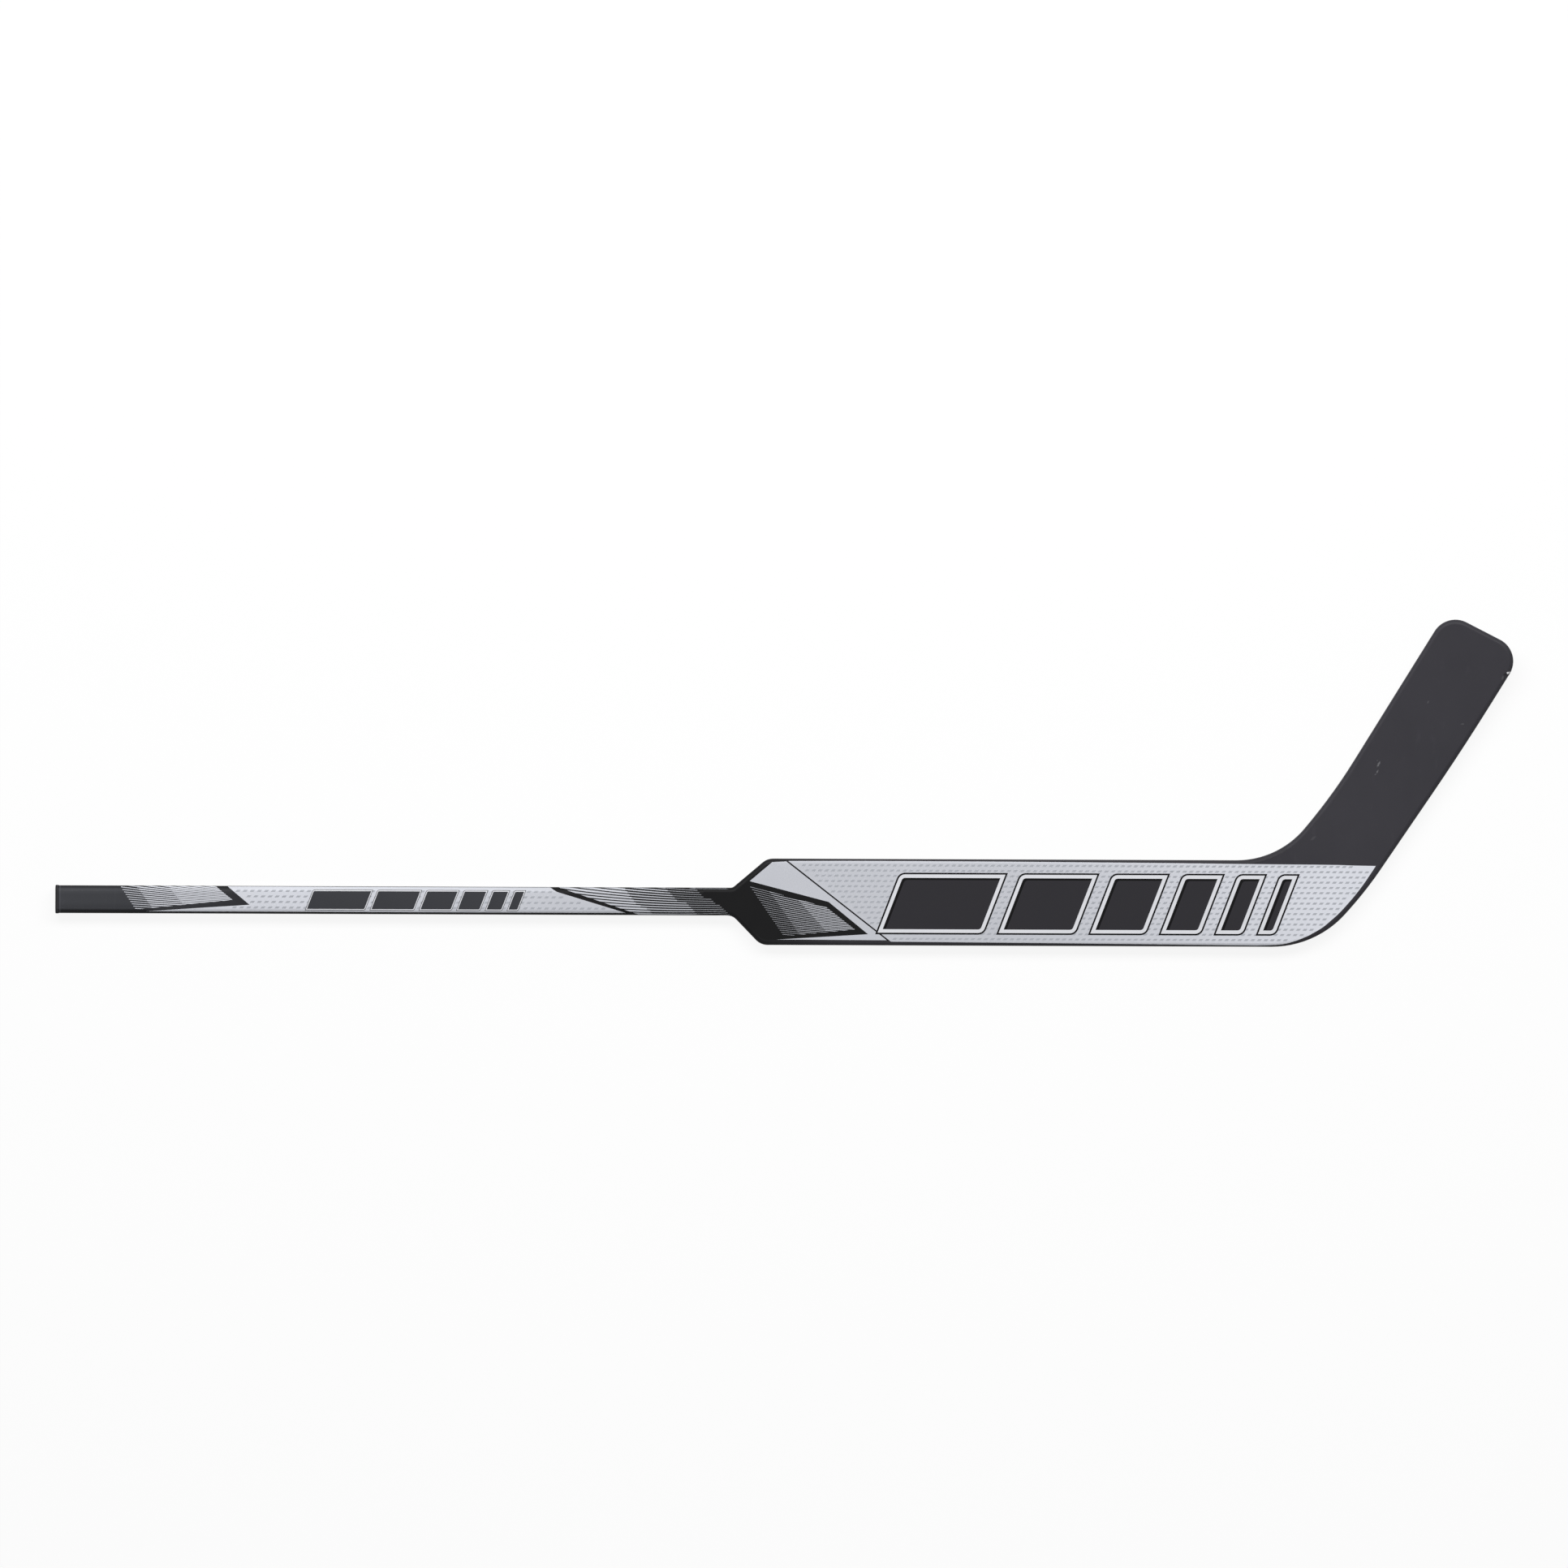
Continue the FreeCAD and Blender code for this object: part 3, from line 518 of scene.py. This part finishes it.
def ink(name, colour, roughness, specular):
    """Solid printed ink: barely uneven, under the film's coat."""
    s = Shader(name)
    specks = s.noise(0.8, 2)
    clouds = s.noise(40, 3)
    base = s.mix(s.fit(specks, 0.3, 0.7, 0, 1), tint(colour, 0.95), tint(colour, 1.06))
    base = s.mix(s.fit(clouds, 0.35, 0.65, 0, 0.4), base, tint(colour, 0.9))
    return s.finish(
        Base_Color=base,
        Roughness=s.fit(clouds, 0.3, 0.7, roughness - 0.04, roughness + 0.04),
        Specular_IOR_Level=specular,
        Normal=s.bump(specks, 0.01, 0.12),
    )


def spot(s, centre, half_length, half_width, angle, strength, tear):
    """A torn patch, from its strength in the middle to 0 outside: sizes in mm, angle in degrees."""
    shift = s.feed(s.add("ShaderNodeMapping", vector_type="TEXTURE"), Vector=s.place,
                   Location=(centre[0] * MM, centre[1] * MM, 0), Rotation=(0, 0, math.radians(angle)),
                   Scale=(half_length * MM, half_width * MM, 1.0))
    flat = s.feed(s.add("ShaderNodeSeparateXYZ"), Vector=shift.outputs["Vector"])
    distance = s.math("ADD", s.math("MULTIPLY", flat.outputs["X"], flat.outputs["X"]),
                      s.math("MULTIPLY", flat.outputs["Y"], flat.outputs["Y"]))
    torn = s.fit(s.noise(1.0, 4), 0.3, 0.7, -tear, tear)
    return s.math("MULTIPLY", s.fit(s.math("ADD", distance, torn), 0.1, 1.0, 1, 0), strength)


def rubber(name, colour):
    """Matt moulded rubber with pores, dust and a painted highlight on the flange's edge."""
    s = Shader(name)
    pores = s.noise(0.4, 3)
    dust = s.noise(6, 4)
    base = s.mix(s.fit(dust, 0.45, 0.75, 0, 0.35), colour, tint(colour, 1.9))
    # A painted highlight on the flange's edge.
    base = s.mix(s.band(*FLANGE_HIGHLIGHT), base, tint(colour, 5.0))
    return s.finish(
        Base_Color=base,
        Roughness=s.fit(pores, 0.3, 0.7, 0.62, 0.78),
        Specular_IOR_Level=0.2,
        Normal=s.bump(pores, 0.08, 0.35),
    )


def wood(name, colour):
    """Planed pale wood with its grain along the stick."""
    s = Shader(name)
    fibres = s.noise(1.2, 4, stretch=(0.06, 1, 1))
    bands = s.noise(9, 3, stretch=(0.08, 1, 1))
    base = s.mix(s.fit(bands, 0.3, 0.7, 0, 1), tint(colour, 0.8), tint(colour, 1.15))
    base = s.mix(s.fit(fibres, 0.4, 0.7, 0, 0.5), base, tint(colour, 0.6))
    return s.finish(Base_Color=base, Roughness=s.fit(fibres, 0.3, 0.7, 0.5, 0.68),
                    Normal=s.bump(fibres, 0.06, 0.3))


def foam(name, colour):
    """Closed-cell foam: small rounded cells."""
    s = Shader(name)
    cell_mm = 1.1
    cells = s.feed(s.add("ShaderNodeTexVoronoi"), Vector=s.place, Scale=1000 / cell_mm)
    clouds = s.noise(12, 3)
    base = s.mix(s.fit(cells.outputs["Distance"], 0, 0.7, 0, 0.6), colour, tint(colour, 0.75))
    base = s.mix(s.fit(clouds, 0.3, 0.7, 0, 0.3), base, tint(colour, 1.15))
    return s.finish(Base_Color=base, Roughness=s.fit(clouds, 0.3, 0.7, 0.8, 0.92),
                    Normal=s.bump(cells.outputs["Distance"], 0.2, 0.5))


SHAFT_COAT = laminate("shaft_coat", (linear(61, 62, 66), linear(21, 21, 22)), turn=(-640, -400),
                      specular=0.08, crowned_and_shaded=True)
EDGE_COAT = laminate("edge_coat", (linear(21, 21, 22), linear(53, 52, 56)), turn=(20, 120),
                     specular=0.08)
PANEL_COAT = laminate("panel_coat", (linear(14, 14, 15), linear(53, 52, 57)), turn=(240, 480),
                      specular=0.09)
BLADE_COAT = laminate("blade_coat", (linear(51, 50, 55), linear(51, 50, 55)), turn=(560, 800),
                      specular=0.12, worn=True)
PLUG_RUBBER = rubber("plug_rubber", linear(24, 24, 26))
WOOD = wood("pale_wood", linear(196, 164, 118))
FOAM = foam("core_foam", linear(226, 218, 196))
SILVER = silver_film("silver_ink", linear(205, 207, 214))
# The marks' grey also draws the painted highlight along the neck.
MARK_AND_HIGHLIGHT_GREY = ink("mark_and_highlight_grey", linear(171, 174, 181), roughness=0.42, specular=0.3)
LIGHT = ink("light_ink", linear(222, 223, 228), roughness=0.36, specular=0.4)
CHARCOAL = ink("charcoal_ink", linear(44, 43, 47), roughness=0.4, specular=0.1)
SLATE = ink("slate_ink", linear(58, 59, 63), roughness=0.4, specular=0.1)
BLACK = ink("black_ink", linear(16, 16, 17), roughness=0.4, specular=0.06)

NODE_MATERIALS = {
    "shaft_tube": SHAFT_COAT,
    "shaft_film_front": SHAFT_COAT,
    "shaft_film_back": SHAFT_COAT,
    "butt_end_plug": PLUG_RUBBER,
    "shaft_tenon": WOOD,
    "paddle_spine": WOOD,
    "heel_tenon": WOOD,
    "blade_rib": WOOD,
    "paddle_edge_upper": EDGE_COAT,
    "paddle_edge_lower": EDGE_COAT,
    "paddle_front_skin": PANEL_COAT,
    "paddle_back_skin": PANEL_COAT,
    "paddle_film_front": PANEL_COAT,
    "paddle_film_back": PANEL_COAT,
    "paddle_core_upper": FOAM,
    "paddle_core_lower": FOAM,
    "blade_core_upper": FOAM,
    "blade_core_lower": FOAM,
    "blade_edge_wrap": BLADE_COAT,
    "blade_front_skin": BLADE_COAT,
    "blade_back_skin": BLADE_COAT,
}
for node_name, material in NODE_MATERIALS.items():
    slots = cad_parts[node_name].data.materials
    slots.clear()
    slots.append(material)


# Layout of the paddle's print

# Borders of the silver, from the throat to the heel.
PADDLE_TOP = [(60, 42.1), (120, 42.4), (180, 42.4), (240, 42.3), (300, 42.1), (360, 41.8), (420, 41.5),
              (480, 41.1), (516, 40.75), (552, 40.5), (600, 40.25), (624, 40.0), (640, 39.5), (662, 39.2)]
PADDLE_LOW = [(166, -40.6), (180, -40.65), (240, -41.0), (300, -41.3), (360, -41.7), (420, -42.1),
              (480, -42.65), (540, -43.2)]
HEEL_BORDER = [(563.6, -42.0), (577.2, -39.0), (590.4, -34.0), (598.0, -30.0), (606.4, -25.0), (612.8, -20.0),
               (624.0, -10.0), (633.2, 0.0), (641.6, 10.0), (649.2, 20.0), (656.0, 30.0)]


def curve(points, steps):
    """A smooth line through points, with that many steps between each two of them."""
    line = []
    for i in range(len(points) - 1):
        before, start, end = points[max(i - 1, 0)], points[i], points[i + 1]
        after = points[min(i + 2, len(points) - 1)]
        for k in range(steps):
            t = k / steps
            weights = (-t + 2 * t ** 2 - t ** 3, 2 - 5 * t ** 2 + 3 * t ** 3, t + 4 * t ** 2 - 3 * t ** 3,
                       t ** 3 - t ** 2)
            corners = (before, start, end, after)
            line.append(tuple(sum(w * c[j] for w, c in zip(weights, corners)) / 2 for j in (0, 1)))
    return line + [points[-1]]


HEEL_CURVE_STEPS = 5
HEEL_CURVE = curve([PADDLE_LOW[-1]] + HEEL_BORDER + [PADDLE_TOP[-1]], HEEL_CURVE_STEPS)[1:-1]

# The bare panel by the throat, left of a thin black diagonal, and the panel with the marks, right of it.
BARE_PANEL = [(17.7, 21.2), (99.0, 0.1), (139.7, -33.0), (45.5, -38.9), (60, -38.75), (120, -39.0),
              (158.9, -39.1), (55.3, 41.6), (40.7, 40.8)]
PATTERN_TIP = (57.3, 42.0)
PATTERN_FOOT = (163.2, -40.55)
PATTERN_TOP = [PATTERN_TIP] + PADDLE_TOP
PATTERN_LOW = [PATTERN_TIP, PATTERN_FOOT] + PADDLE_LOW + HEEL_CURVE + [PADDLE_TOP[-1]]
PATTERN_PANEL = PATTERN_TOP + PATTERN_LOW[-2:0:-1]

# The striped panel below the bare one is a fan of lines. Line 0 passes through the start, and each next line
# lies a pitch lower and slopes less, so that the lines close up to the right. The fan has zones between
# borders, each with the share of the room between two lines that a line fills there. What lies outside the
# trim is cut off.
PADDLE_STRIPES = {
    "start": (57.6, 5.7), "pitch": 1.98, "slope": -0.225, "spread": 0.0075, "bend": 0.0005,
    "trim": [(10.0, 18.3), (96.8, -5.4), (126.0, -28.1), (40.0, -36.7)],
    "borders": [
        [(15.1, 20.0), (54.7, -38.0)],
        [(31.3, 20.0), (72.4, -38.0)],
        [(51.7, 20.0), (103.1, -38.0)],
        [(140.0, 20.0), (140.0, -38.0)],
    ],
    "shares": (0.125, 0.26, 0.45),
}

# Lines are followed in steps and drawn in pieces. Short lines and small patches are left out.
LINE_NUMBERS = range(-24, 30)
LINE_STEP = 0.1
LINE_PIECE = 6.0
SHORTEST_LINE = 1.5
SMALLEST_PATCH = 0.01
SMALLEST_LINE = 0.3


def stripes(fan):
    """The lines of a fan as patches. Lines end square in each zone, and then the trim cuts them."""
    x0, y0 = fan["start"]

    def line_height(number, x):
        run = x - x0
        slope = fan["slope"] + fan["spread"] * number
        return y0 - fan["pitch"] * number + slope * run + fan["bend"] * run ** 2

    def ends(number, share, x):
        half = share * (fan["pitch"] - fan["spread"] * (x - x0)) / 2
        return (x, line_height(number, x) - half), (x, line_height(number, x) + half)

    patches = []
    for before, after, share in zip(fan["borders"], fan["borders"][1:], fan["shares"]):
        zone = after + before[::-1]
        left, right = min(x for x, _ in zone), max(x for x, _ in zone)
        places = [left + LINE_STEP * k for k in range(int((right - left) / LINE_STEP) + 1)]
        for number in LINE_NUMBERS:
            within = [x for x in places if inside((x, line_height(number, x)), zone)]
            if not within or within[-1] - within[0] < SHORTEST_LINE:
                continue
            first, length = within[0], within[-1] - within[0]
            count = max(1, round(length / LINE_PIECE))
            cuts = [ends(number, share, first + length * k / count) for k in range(count + 1)]
            line = [clip_to([low, next_low, next_high, high], fan["trim"])
                    for (low, high), (next_low, next_high) in zip(cuts, cuts[1:])]
            line = [patch for patch in line if patch and abs(signed_area(patch)) > SMALLEST_PATCH]
            if sum(abs(signed_area(patch)) for patch in line) > SMALLEST_LINE:
                patches += line
    return patches


# Steps round a block's corner.
CORNER_STEPS = 7


def leaning_block(left, width, low, high, lean, corner):
    """Outline of a block that leans to the right, rounded at two opposite corners."""
    shift = (high - low) * math.tan(math.radians(lean))
    corners = [((left, low), 0), ((left + width, low), corner),
               ((left + width + shift, high), 0), ((left + shift, high), corner)]
    outline = []
    for i, ((x, y), radius) in enumerate(corners):
        if radius == 0:
            outline.append((x, y))
            continue
        (px, py), (nx, ny) = corners[i - 1][0], corners[(i + 1) % 4][0]
        back = math.hypot(px - x, py - y)
        ahead = math.hypot(nx - x, ny - y)
        bx, by = (px - x) / back, (py - y) / back
        ax, ay = (nx - x) / ahead, (ny - y) / ahead
        half = math.acos(bx * ax + by * ay) / 2
        reach = radius / math.tan(half)
        mx, my = bx + ax, by + ay
        size = math.hypot(mx, my)
        cx, cy = x + mx / size * radius / math.sin(half), y + my / size * radius / math.sin(half)
        start = math.atan2(y + by * reach - cy, x + bx * reach - cx)
        sweep = math.pi - 2 * half
        angles = [start + sweep * k / CORNER_STEPS for k in range(CORNER_STEPS + 1)]
        outline += [(cx + radius * math.cos(angle), cy + radius * math.sin(angle)) for angle in angles]
    return outline


def block_row(left, low, high, lean, widths, gap, corner, outline, band, shadow):
    """A row of leaning blocks: black outline, light band, and a charcoal face with a black shadow."""
    parts = {"black": [], "light": [], "charcoal": []}
    for width in widths:
        edge = leaning_block(left, width, low, high, lean, corner)
        band_edge = inset(edge, outline)
        face = inset(edge, outline + band)
        parts["black"] += ring(edge, band_edge)
        parts["light"] += ring(band_edge, face)
        if shadow:
            parts["black"].append(face)
            face = clip_to([(x + shadow, y - shadow) for x, y in face], face)
        parts["charcoal"].append(face)
        left += width + gap
    return parts


# Room that a mark needs along and across the stick, as a multiple of its size.
MARK_ROOM = (1.2, 1.5)


def marks(outline, columns, rows, pitch, size, lean):
    """Small leaning marks in a half-shifted grid, wherever they lie clear inside an outline."""
    patches = []
    length, height = size
    shift = height * math.tan(math.radians(lean)) / 2
    corners = [(-length / 2 - shift, -height / 2), (length / 2 - shift, -height / 2),
               (length / 2 + shift, height / 2), (-length / 2 + shift, height / 2)]
    for j in range(rows[1]):
        y = rows[0] + j * pitch[1]
        for i in range(columns[1]):
            x = columns[0] + (i + 0.5 * (j % 2)) * pitch[0]
            patch = [(x + dx, y + dy) for dx, dy in corners]
            room = [(x + MARK_ROOM[0] * dx, y + MARK_ROOM[1] * dy) for dx, dy in corners]
            if all(inside(point, outline) for point in room):
                patches.append(patch)
    return patches


BLOCK_LEAN = 21.0
MARK_LEAN = 38.0
PADDLE_BLOCKS = block_row(left=147.0, low=-33.0, high=30.5, lean=BLOCK_LEAN, widths=(112, 82, 60, 44, 31, 21),
                          gap=12.5, corner=9.0, outline=1.7, band=3.6, shadow=2.2)
PADDLE_MARKS = marks(PATTERN_PANEL, columns=(60.0, 92), rows=(-37.6, 15), pitch=(6.7, 5.4), size=(3.7, 2.0),
                     lean=MARK_LEAN)

# Layout of the shaft's print

SHAFT_TOP = 13.8
SHAFT_LOW = -12.0
SHAFT_SILVER = [(-109.8, SHAFT_LOW), (-181.0, 9.45), (-187.5, SHAFT_TOP), (-519.6, SHAFT_TOP), (-497.0, -5.0),
                (-602.8, SHAFT_LOW)]
GRIP_STRIPES = {
    "start": (-598.4, 11.4), "pitch": 2.13, "slope": -0.115, "spread": 0.0075, "bend": 0.00025,
    "trim": [(-640.0, 14.0), (-532.0, 14.0), (-514.4, -0.15), (-640.0, -12.9)],
    "borders": [
        [(-631.5, 16.0), (-613.6, -11.5)],
        [(-614.9, 16.0), (-595.2, -11.5)],
        [(-582.8, 16.0), (-560.1, -11.5)],
        [(-500.0, 16.0), (-500.0, -11.5)],
    ],
    "shares": (0.27, 0.50, 0.68),
}
THROAT_STRIPES = {
    "start": (-80.4, 7.1), "pitch": 2.5, "slope": -0.068, "spread": 0.007, "bend": 0.0004,
    "trim": [(-179.0, 14.0), (10.0, 14.0), (10.0, -14.0), (-95.2, -14.0)],
    "borders": [
        [(-200.0, 16.4), (-120.0, -14.1)],
        [(-113.4, 16.4), (-99.1, -2.2), (-94.6, -4.8), (-88.4, -7.4), (-84.6, -10.0), (-82.4, -14.1)],
        [(-71.7, 16.4), (-55.7, -0.2), (-48.3, -0.2), (-35.4, -14.1)],
        [(-40.7, 16.4), (-28.8, 3.4), (-22.8, 3.4), (-16.6, -2.8), (-14.0, -2.8), (-2.4, -14.1)],
    ],
    "shares": (0.60, 0.37, 0.14),
}
# A thin painted highlight follows the neck's upper edge, in the marks' grey.
NECK_HIGHLIGHT = [(-45.0, 13.05), (-4.0, 13.05), (-7.0, 13.35), (-42.0, 13.35)]
SHAFT_BLOCKS = block_row(left=-440.0, low=-10.4, high=10.8, lean=BLOCK_LEAN, widths=(62, 46, 34, 25, 18, 12),
                         gap=4.5, corner=3.0, outline=0.5, band=0.9, shadow=0.0)
SHAFT_MARKS = marks(SHAFT_SILVER, columns=(-600.0, 70), rows=(-7.7, 4), pitch=(7.3, 5.7), size=(3.9, 2.0),
                    lean=MARK_LEAN)


def bend_shoulder(polygons):
    """Polygons cut apart close to the slanted border that runs along the paddle's rounded shoulder."""
    (x0, y0), (x1, y1) = BARE_PANEL[0], BARE_PANEL[-1]
    length = math.hypot(x1 - x0, y1 - y0)
    normal = ((y0 - y1) / length, (x1 - x0) / length)
    border = normal[0] * x0 + normal[1] * y0
    return divide(polygons, normal, [border - SHOULDER_STEP * i for i in range(1, SHOULDER_CUTS + 1)])


def bend_paddle(polygons):
    """Polygons cut apart so that they can follow the paddle's rounded edges."""
    rounded = divide(polygons, (0, 1), PADDLE_ROWS)
    return divide(rounded, (1, 0), PADDLE_COLUMNS)


def bend_shaft(polygons):
    """Polygons cut apart so that they can follow the shaft's rounded corners."""
    rounded = divide(polygons, (0, 1), SHAFT_ROWS)
    return divide(rounded, (1, 0), SHAFT_COLUMNS)


paddle_silver = (bend_shoulder(triangles(BARE_PANEL)) + strips(PATTERN_TOP, PATTERN_LOW, HEEL_STEPS)
                 + stripes(PADDLE_STRIPES))
shaft_silver = triangles(SHAFT_SILVER) + stripes(GRIP_STRIPES) + stripes(THROAT_STRIPES)
PRINT = [
    ("paddle_print_silver", bend_paddle(paddle_silver), BASE_LIFT, SILVER),
    ("paddle_print_marks", divide(PADDLE_MARKS, (0, 1), PADDLE_ROWS), MARK_LIFT, MARK_AND_HIGHLIGHT_GREY),
    ("paddle_print_black", PADDLE_BLOCKS["black"], BLOCK_LIFT, BLACK),
    ("paddle_print_light", PADDLE_BLOCKS["light"], BLOCK_LIFT, LIGHT),
    ("paddle_print_charcoal", PADDLE_BLOCKS["charcoal"], FACE_LIFT, CHARCOAL),
    ("shaft_print_silver", bend_shaft(shaft_silver), BASE_LIFT, SILVER),
    # This piece carries the marks and the painted highlight along the neck.
    ("shaft_print_marks_and_highlight", bend_shaft(SHAFT_MARKS + [NECK_HIGHLIGHT]), MARK_LIFT, MARK_AND_HIGHLIGHT_GREY),
    ("shaft_print_black", bend_shaft(SHAFT_BLOCKS["black"]), BLOCK_LIFT, BLACK),
    ("shaft_print_light", bend_shaft(SHAFT_BLOCKS["light"]), BLOCK_LIFT, LIGHT),
    ("shaft_print_charcoal", bend_shaft(SHAFT_BLOCKS["charcoal"]), FACE_LIFT, SLATE),
]
for side_name, side in SIDES.items():
    for print_name, patches, lift, material in PRINT:
        print_piece(f"{print_name}_{side_name}", patches, lift, side, material)


# Studio: a white floor, a broad light over the stick from the toe's side, and the camera. The floor lies
# just below the print on the stick's back, and the camera sees it as plain white to the share FLOOR_WHITE.

FLOOR_REACH = 7.0
FLOOR_HEIGHT = -0.0006
FLOOR_TONES = (0.94, 0.97)
FLOOR_WHITE = 0.9
PAPER_SCALE = 400
WORLD_LEVEL = 0.08


def studio_floor():
    """A pale paper floor that keeps the stick's soft shadow."""
    mesh = bpy.data.meshes.new("studio_floor")
    corners = [(-1, -1), (1, -1), (1, 1), (-1, 1)]
    points = [Vector((x * FLOOR_REACH, y * FLOOR_REACH, FLOOR_HEIGHT)) for x, y in corners]
    mesh.from_pydata(points, [], [(0, 1, 2, 3)])
    floor = bpy.data.objects.new("studio_floor", mesh)
    bpy.context.scene.collection.objects.link(floor)
    material = bpy.data.materials.new("studio_floor")
    material.use_nodes = True
    tree = material.node_tree
    nodes, links = tree.nodes, tree.links
    shader = nodes["Principled BSDF"]
    paper = nodes.new("ShaderNodeTexNoise")
    paper.inputs["Scale"].default_value = PAPER_SCALE
    tone = nodes.new("ShaderNodeMapRange")
    tone.inputs["To Min"].default_value, tone.inputs["To Max"].default_value = FLOOR_TONES
    links.new(paper.outputs["Fac"], tone.inputs["Value"])
    links.new(tone.outputs["Result"], shader.inputs["Base Color"])
    shader.inputs["Roughness"].default_value = 0.9
    shader.inputs["Specular IOR Level"].default_value = 0.1
    white = nodes.new("ShaderNodeEmission")
    white.inputs["Strength"].default_value = 1.0
    mixed = nodes.new("ShaderNodeMixShader")
    links.new(white_rays(tree, FLOOR_WHITE), mixed.inputs["Fac"])
    links.new(shader.outputs["BSDF"], mixed.inputs[1])
    links.new(white.outputs["Emission"], mixed.inputs[2])
    links.new(mixed.outputs["Shader"], nodes["Material Output"].inputs["Surface"])
    mesh.materials.append(material)


def white_rays(tree, share):
    """The given share for what the camera sees, straight on or through gloss and glass, and 0 otherwise."""
    path = tree.nodes.new("ShaderNodeLightPath")
    value = path.outputs["Is Camera Ray"]
    for name in ("Is Glossy Ray", "Is Transmission Ray"):
        larger = tree.nodes.new("ShaderNodeMath")
        larger.operation = "MAXIMUM"
        tree.links.new(value, larger.inputs[0])
        tree.links.new(path.outputs[name], larger.inputs[1])
        value = larger.outputs["Value"]
    part = tree.nodes.new("ShaderNodeMath")
    part.operation = "MULTIPLY"
    tree.links.new(value, part.inputs[0])
    part.inputs[1].default_value = share
    return part.outputs["Value"]


def studio_world():
    """A faint even light, seen as plain white."""
    world = bpy.data.worlds.new("studio_world")
    bpy.context.scene.world = world
    world.use_nodes = True
    tree = world.node_tree
    nodes, links = tree.nodes, tree.links
    soft = nodes["Background"]
    soft.inputs["Color"].default_value = (1, 1, 1, 1)
    soft.inputs["Strength"].default_value = WORLD_LEVEL
    white = nodes.new("ShaderNodeBackground")
    white.inputs["Color"].default_value = (1, 1, 1, 1)
    white.inputs["Strength"].default_value = 1.0
    mixed = nodes.new("ShaderNodeMixShader")
    links.new(white_rays(tree, 1.0), mixed.inputs["Fac"])
    links.new(soft.outputs["Background"], mixed.inputs[1])
    links.new(white.outputs["Background"], mixed.inputs[2])
    links.new(mixed.outputs["Shader"], nodes["World Output"].inputs["Surface"])


def area_light(name, place, target, size, power):
    """A soft lamp that looks at a target."""
    light = bpy.data.lights.new(name, "AREA")
    light.shape = "RECTANGLE"
    light.size, light.size_y = size
    light.energy = power
    lamp = bpy.data.objects.new(name, light)
    lamp.location = place
    lamp.rotation_euler = (Vector(target) - Vector(place)).to_track_quat("-Z", "Y").to_euler()
    bpy.context.scene.collection.objects.link(lamp)


studio_floor()
studio_world()
area_light("key", place=(0.05, 1.75, 2.7), target=(0.05, 0.05, 0.0), size=(4.6, 1.1), power=140)

# The photo is taken from straight above and from far away, turned by a fifth of a degree.
CAMERA_MIDDLE = (0.0526, 0.1213)
CAMERA_DISTANCE = 20.0
FACE_HEIGHT = 0.02
CAMERA_SENSOR = 36.0
PICTURE_WIDTH = 1.6138
PHOTO_SLOPE = 0.0037
camera_data = bpy.data.cameras.new("camera")
camera_data.sensor_width = CAMERA_SENSOR
camera_data.lens = CAMERA_SENSOR * CAMERA_DISTANCE / PICTURE_WIDTH
camera = bpy.data.objects.new("camera", camera_data)
camera.location = (*CAMERA_MIDDLE, FACE_HEIGHT + CAMERA_DISTANCE)
camera.rotation_euler = (0, 0, math.atan(PHOTO_SLOPE))
bpy.context.scene.collection.objects.link(camera)
bpy.context.scene.camera = camera
bpy.context.scene.view_settings.view_transform = "Standard"
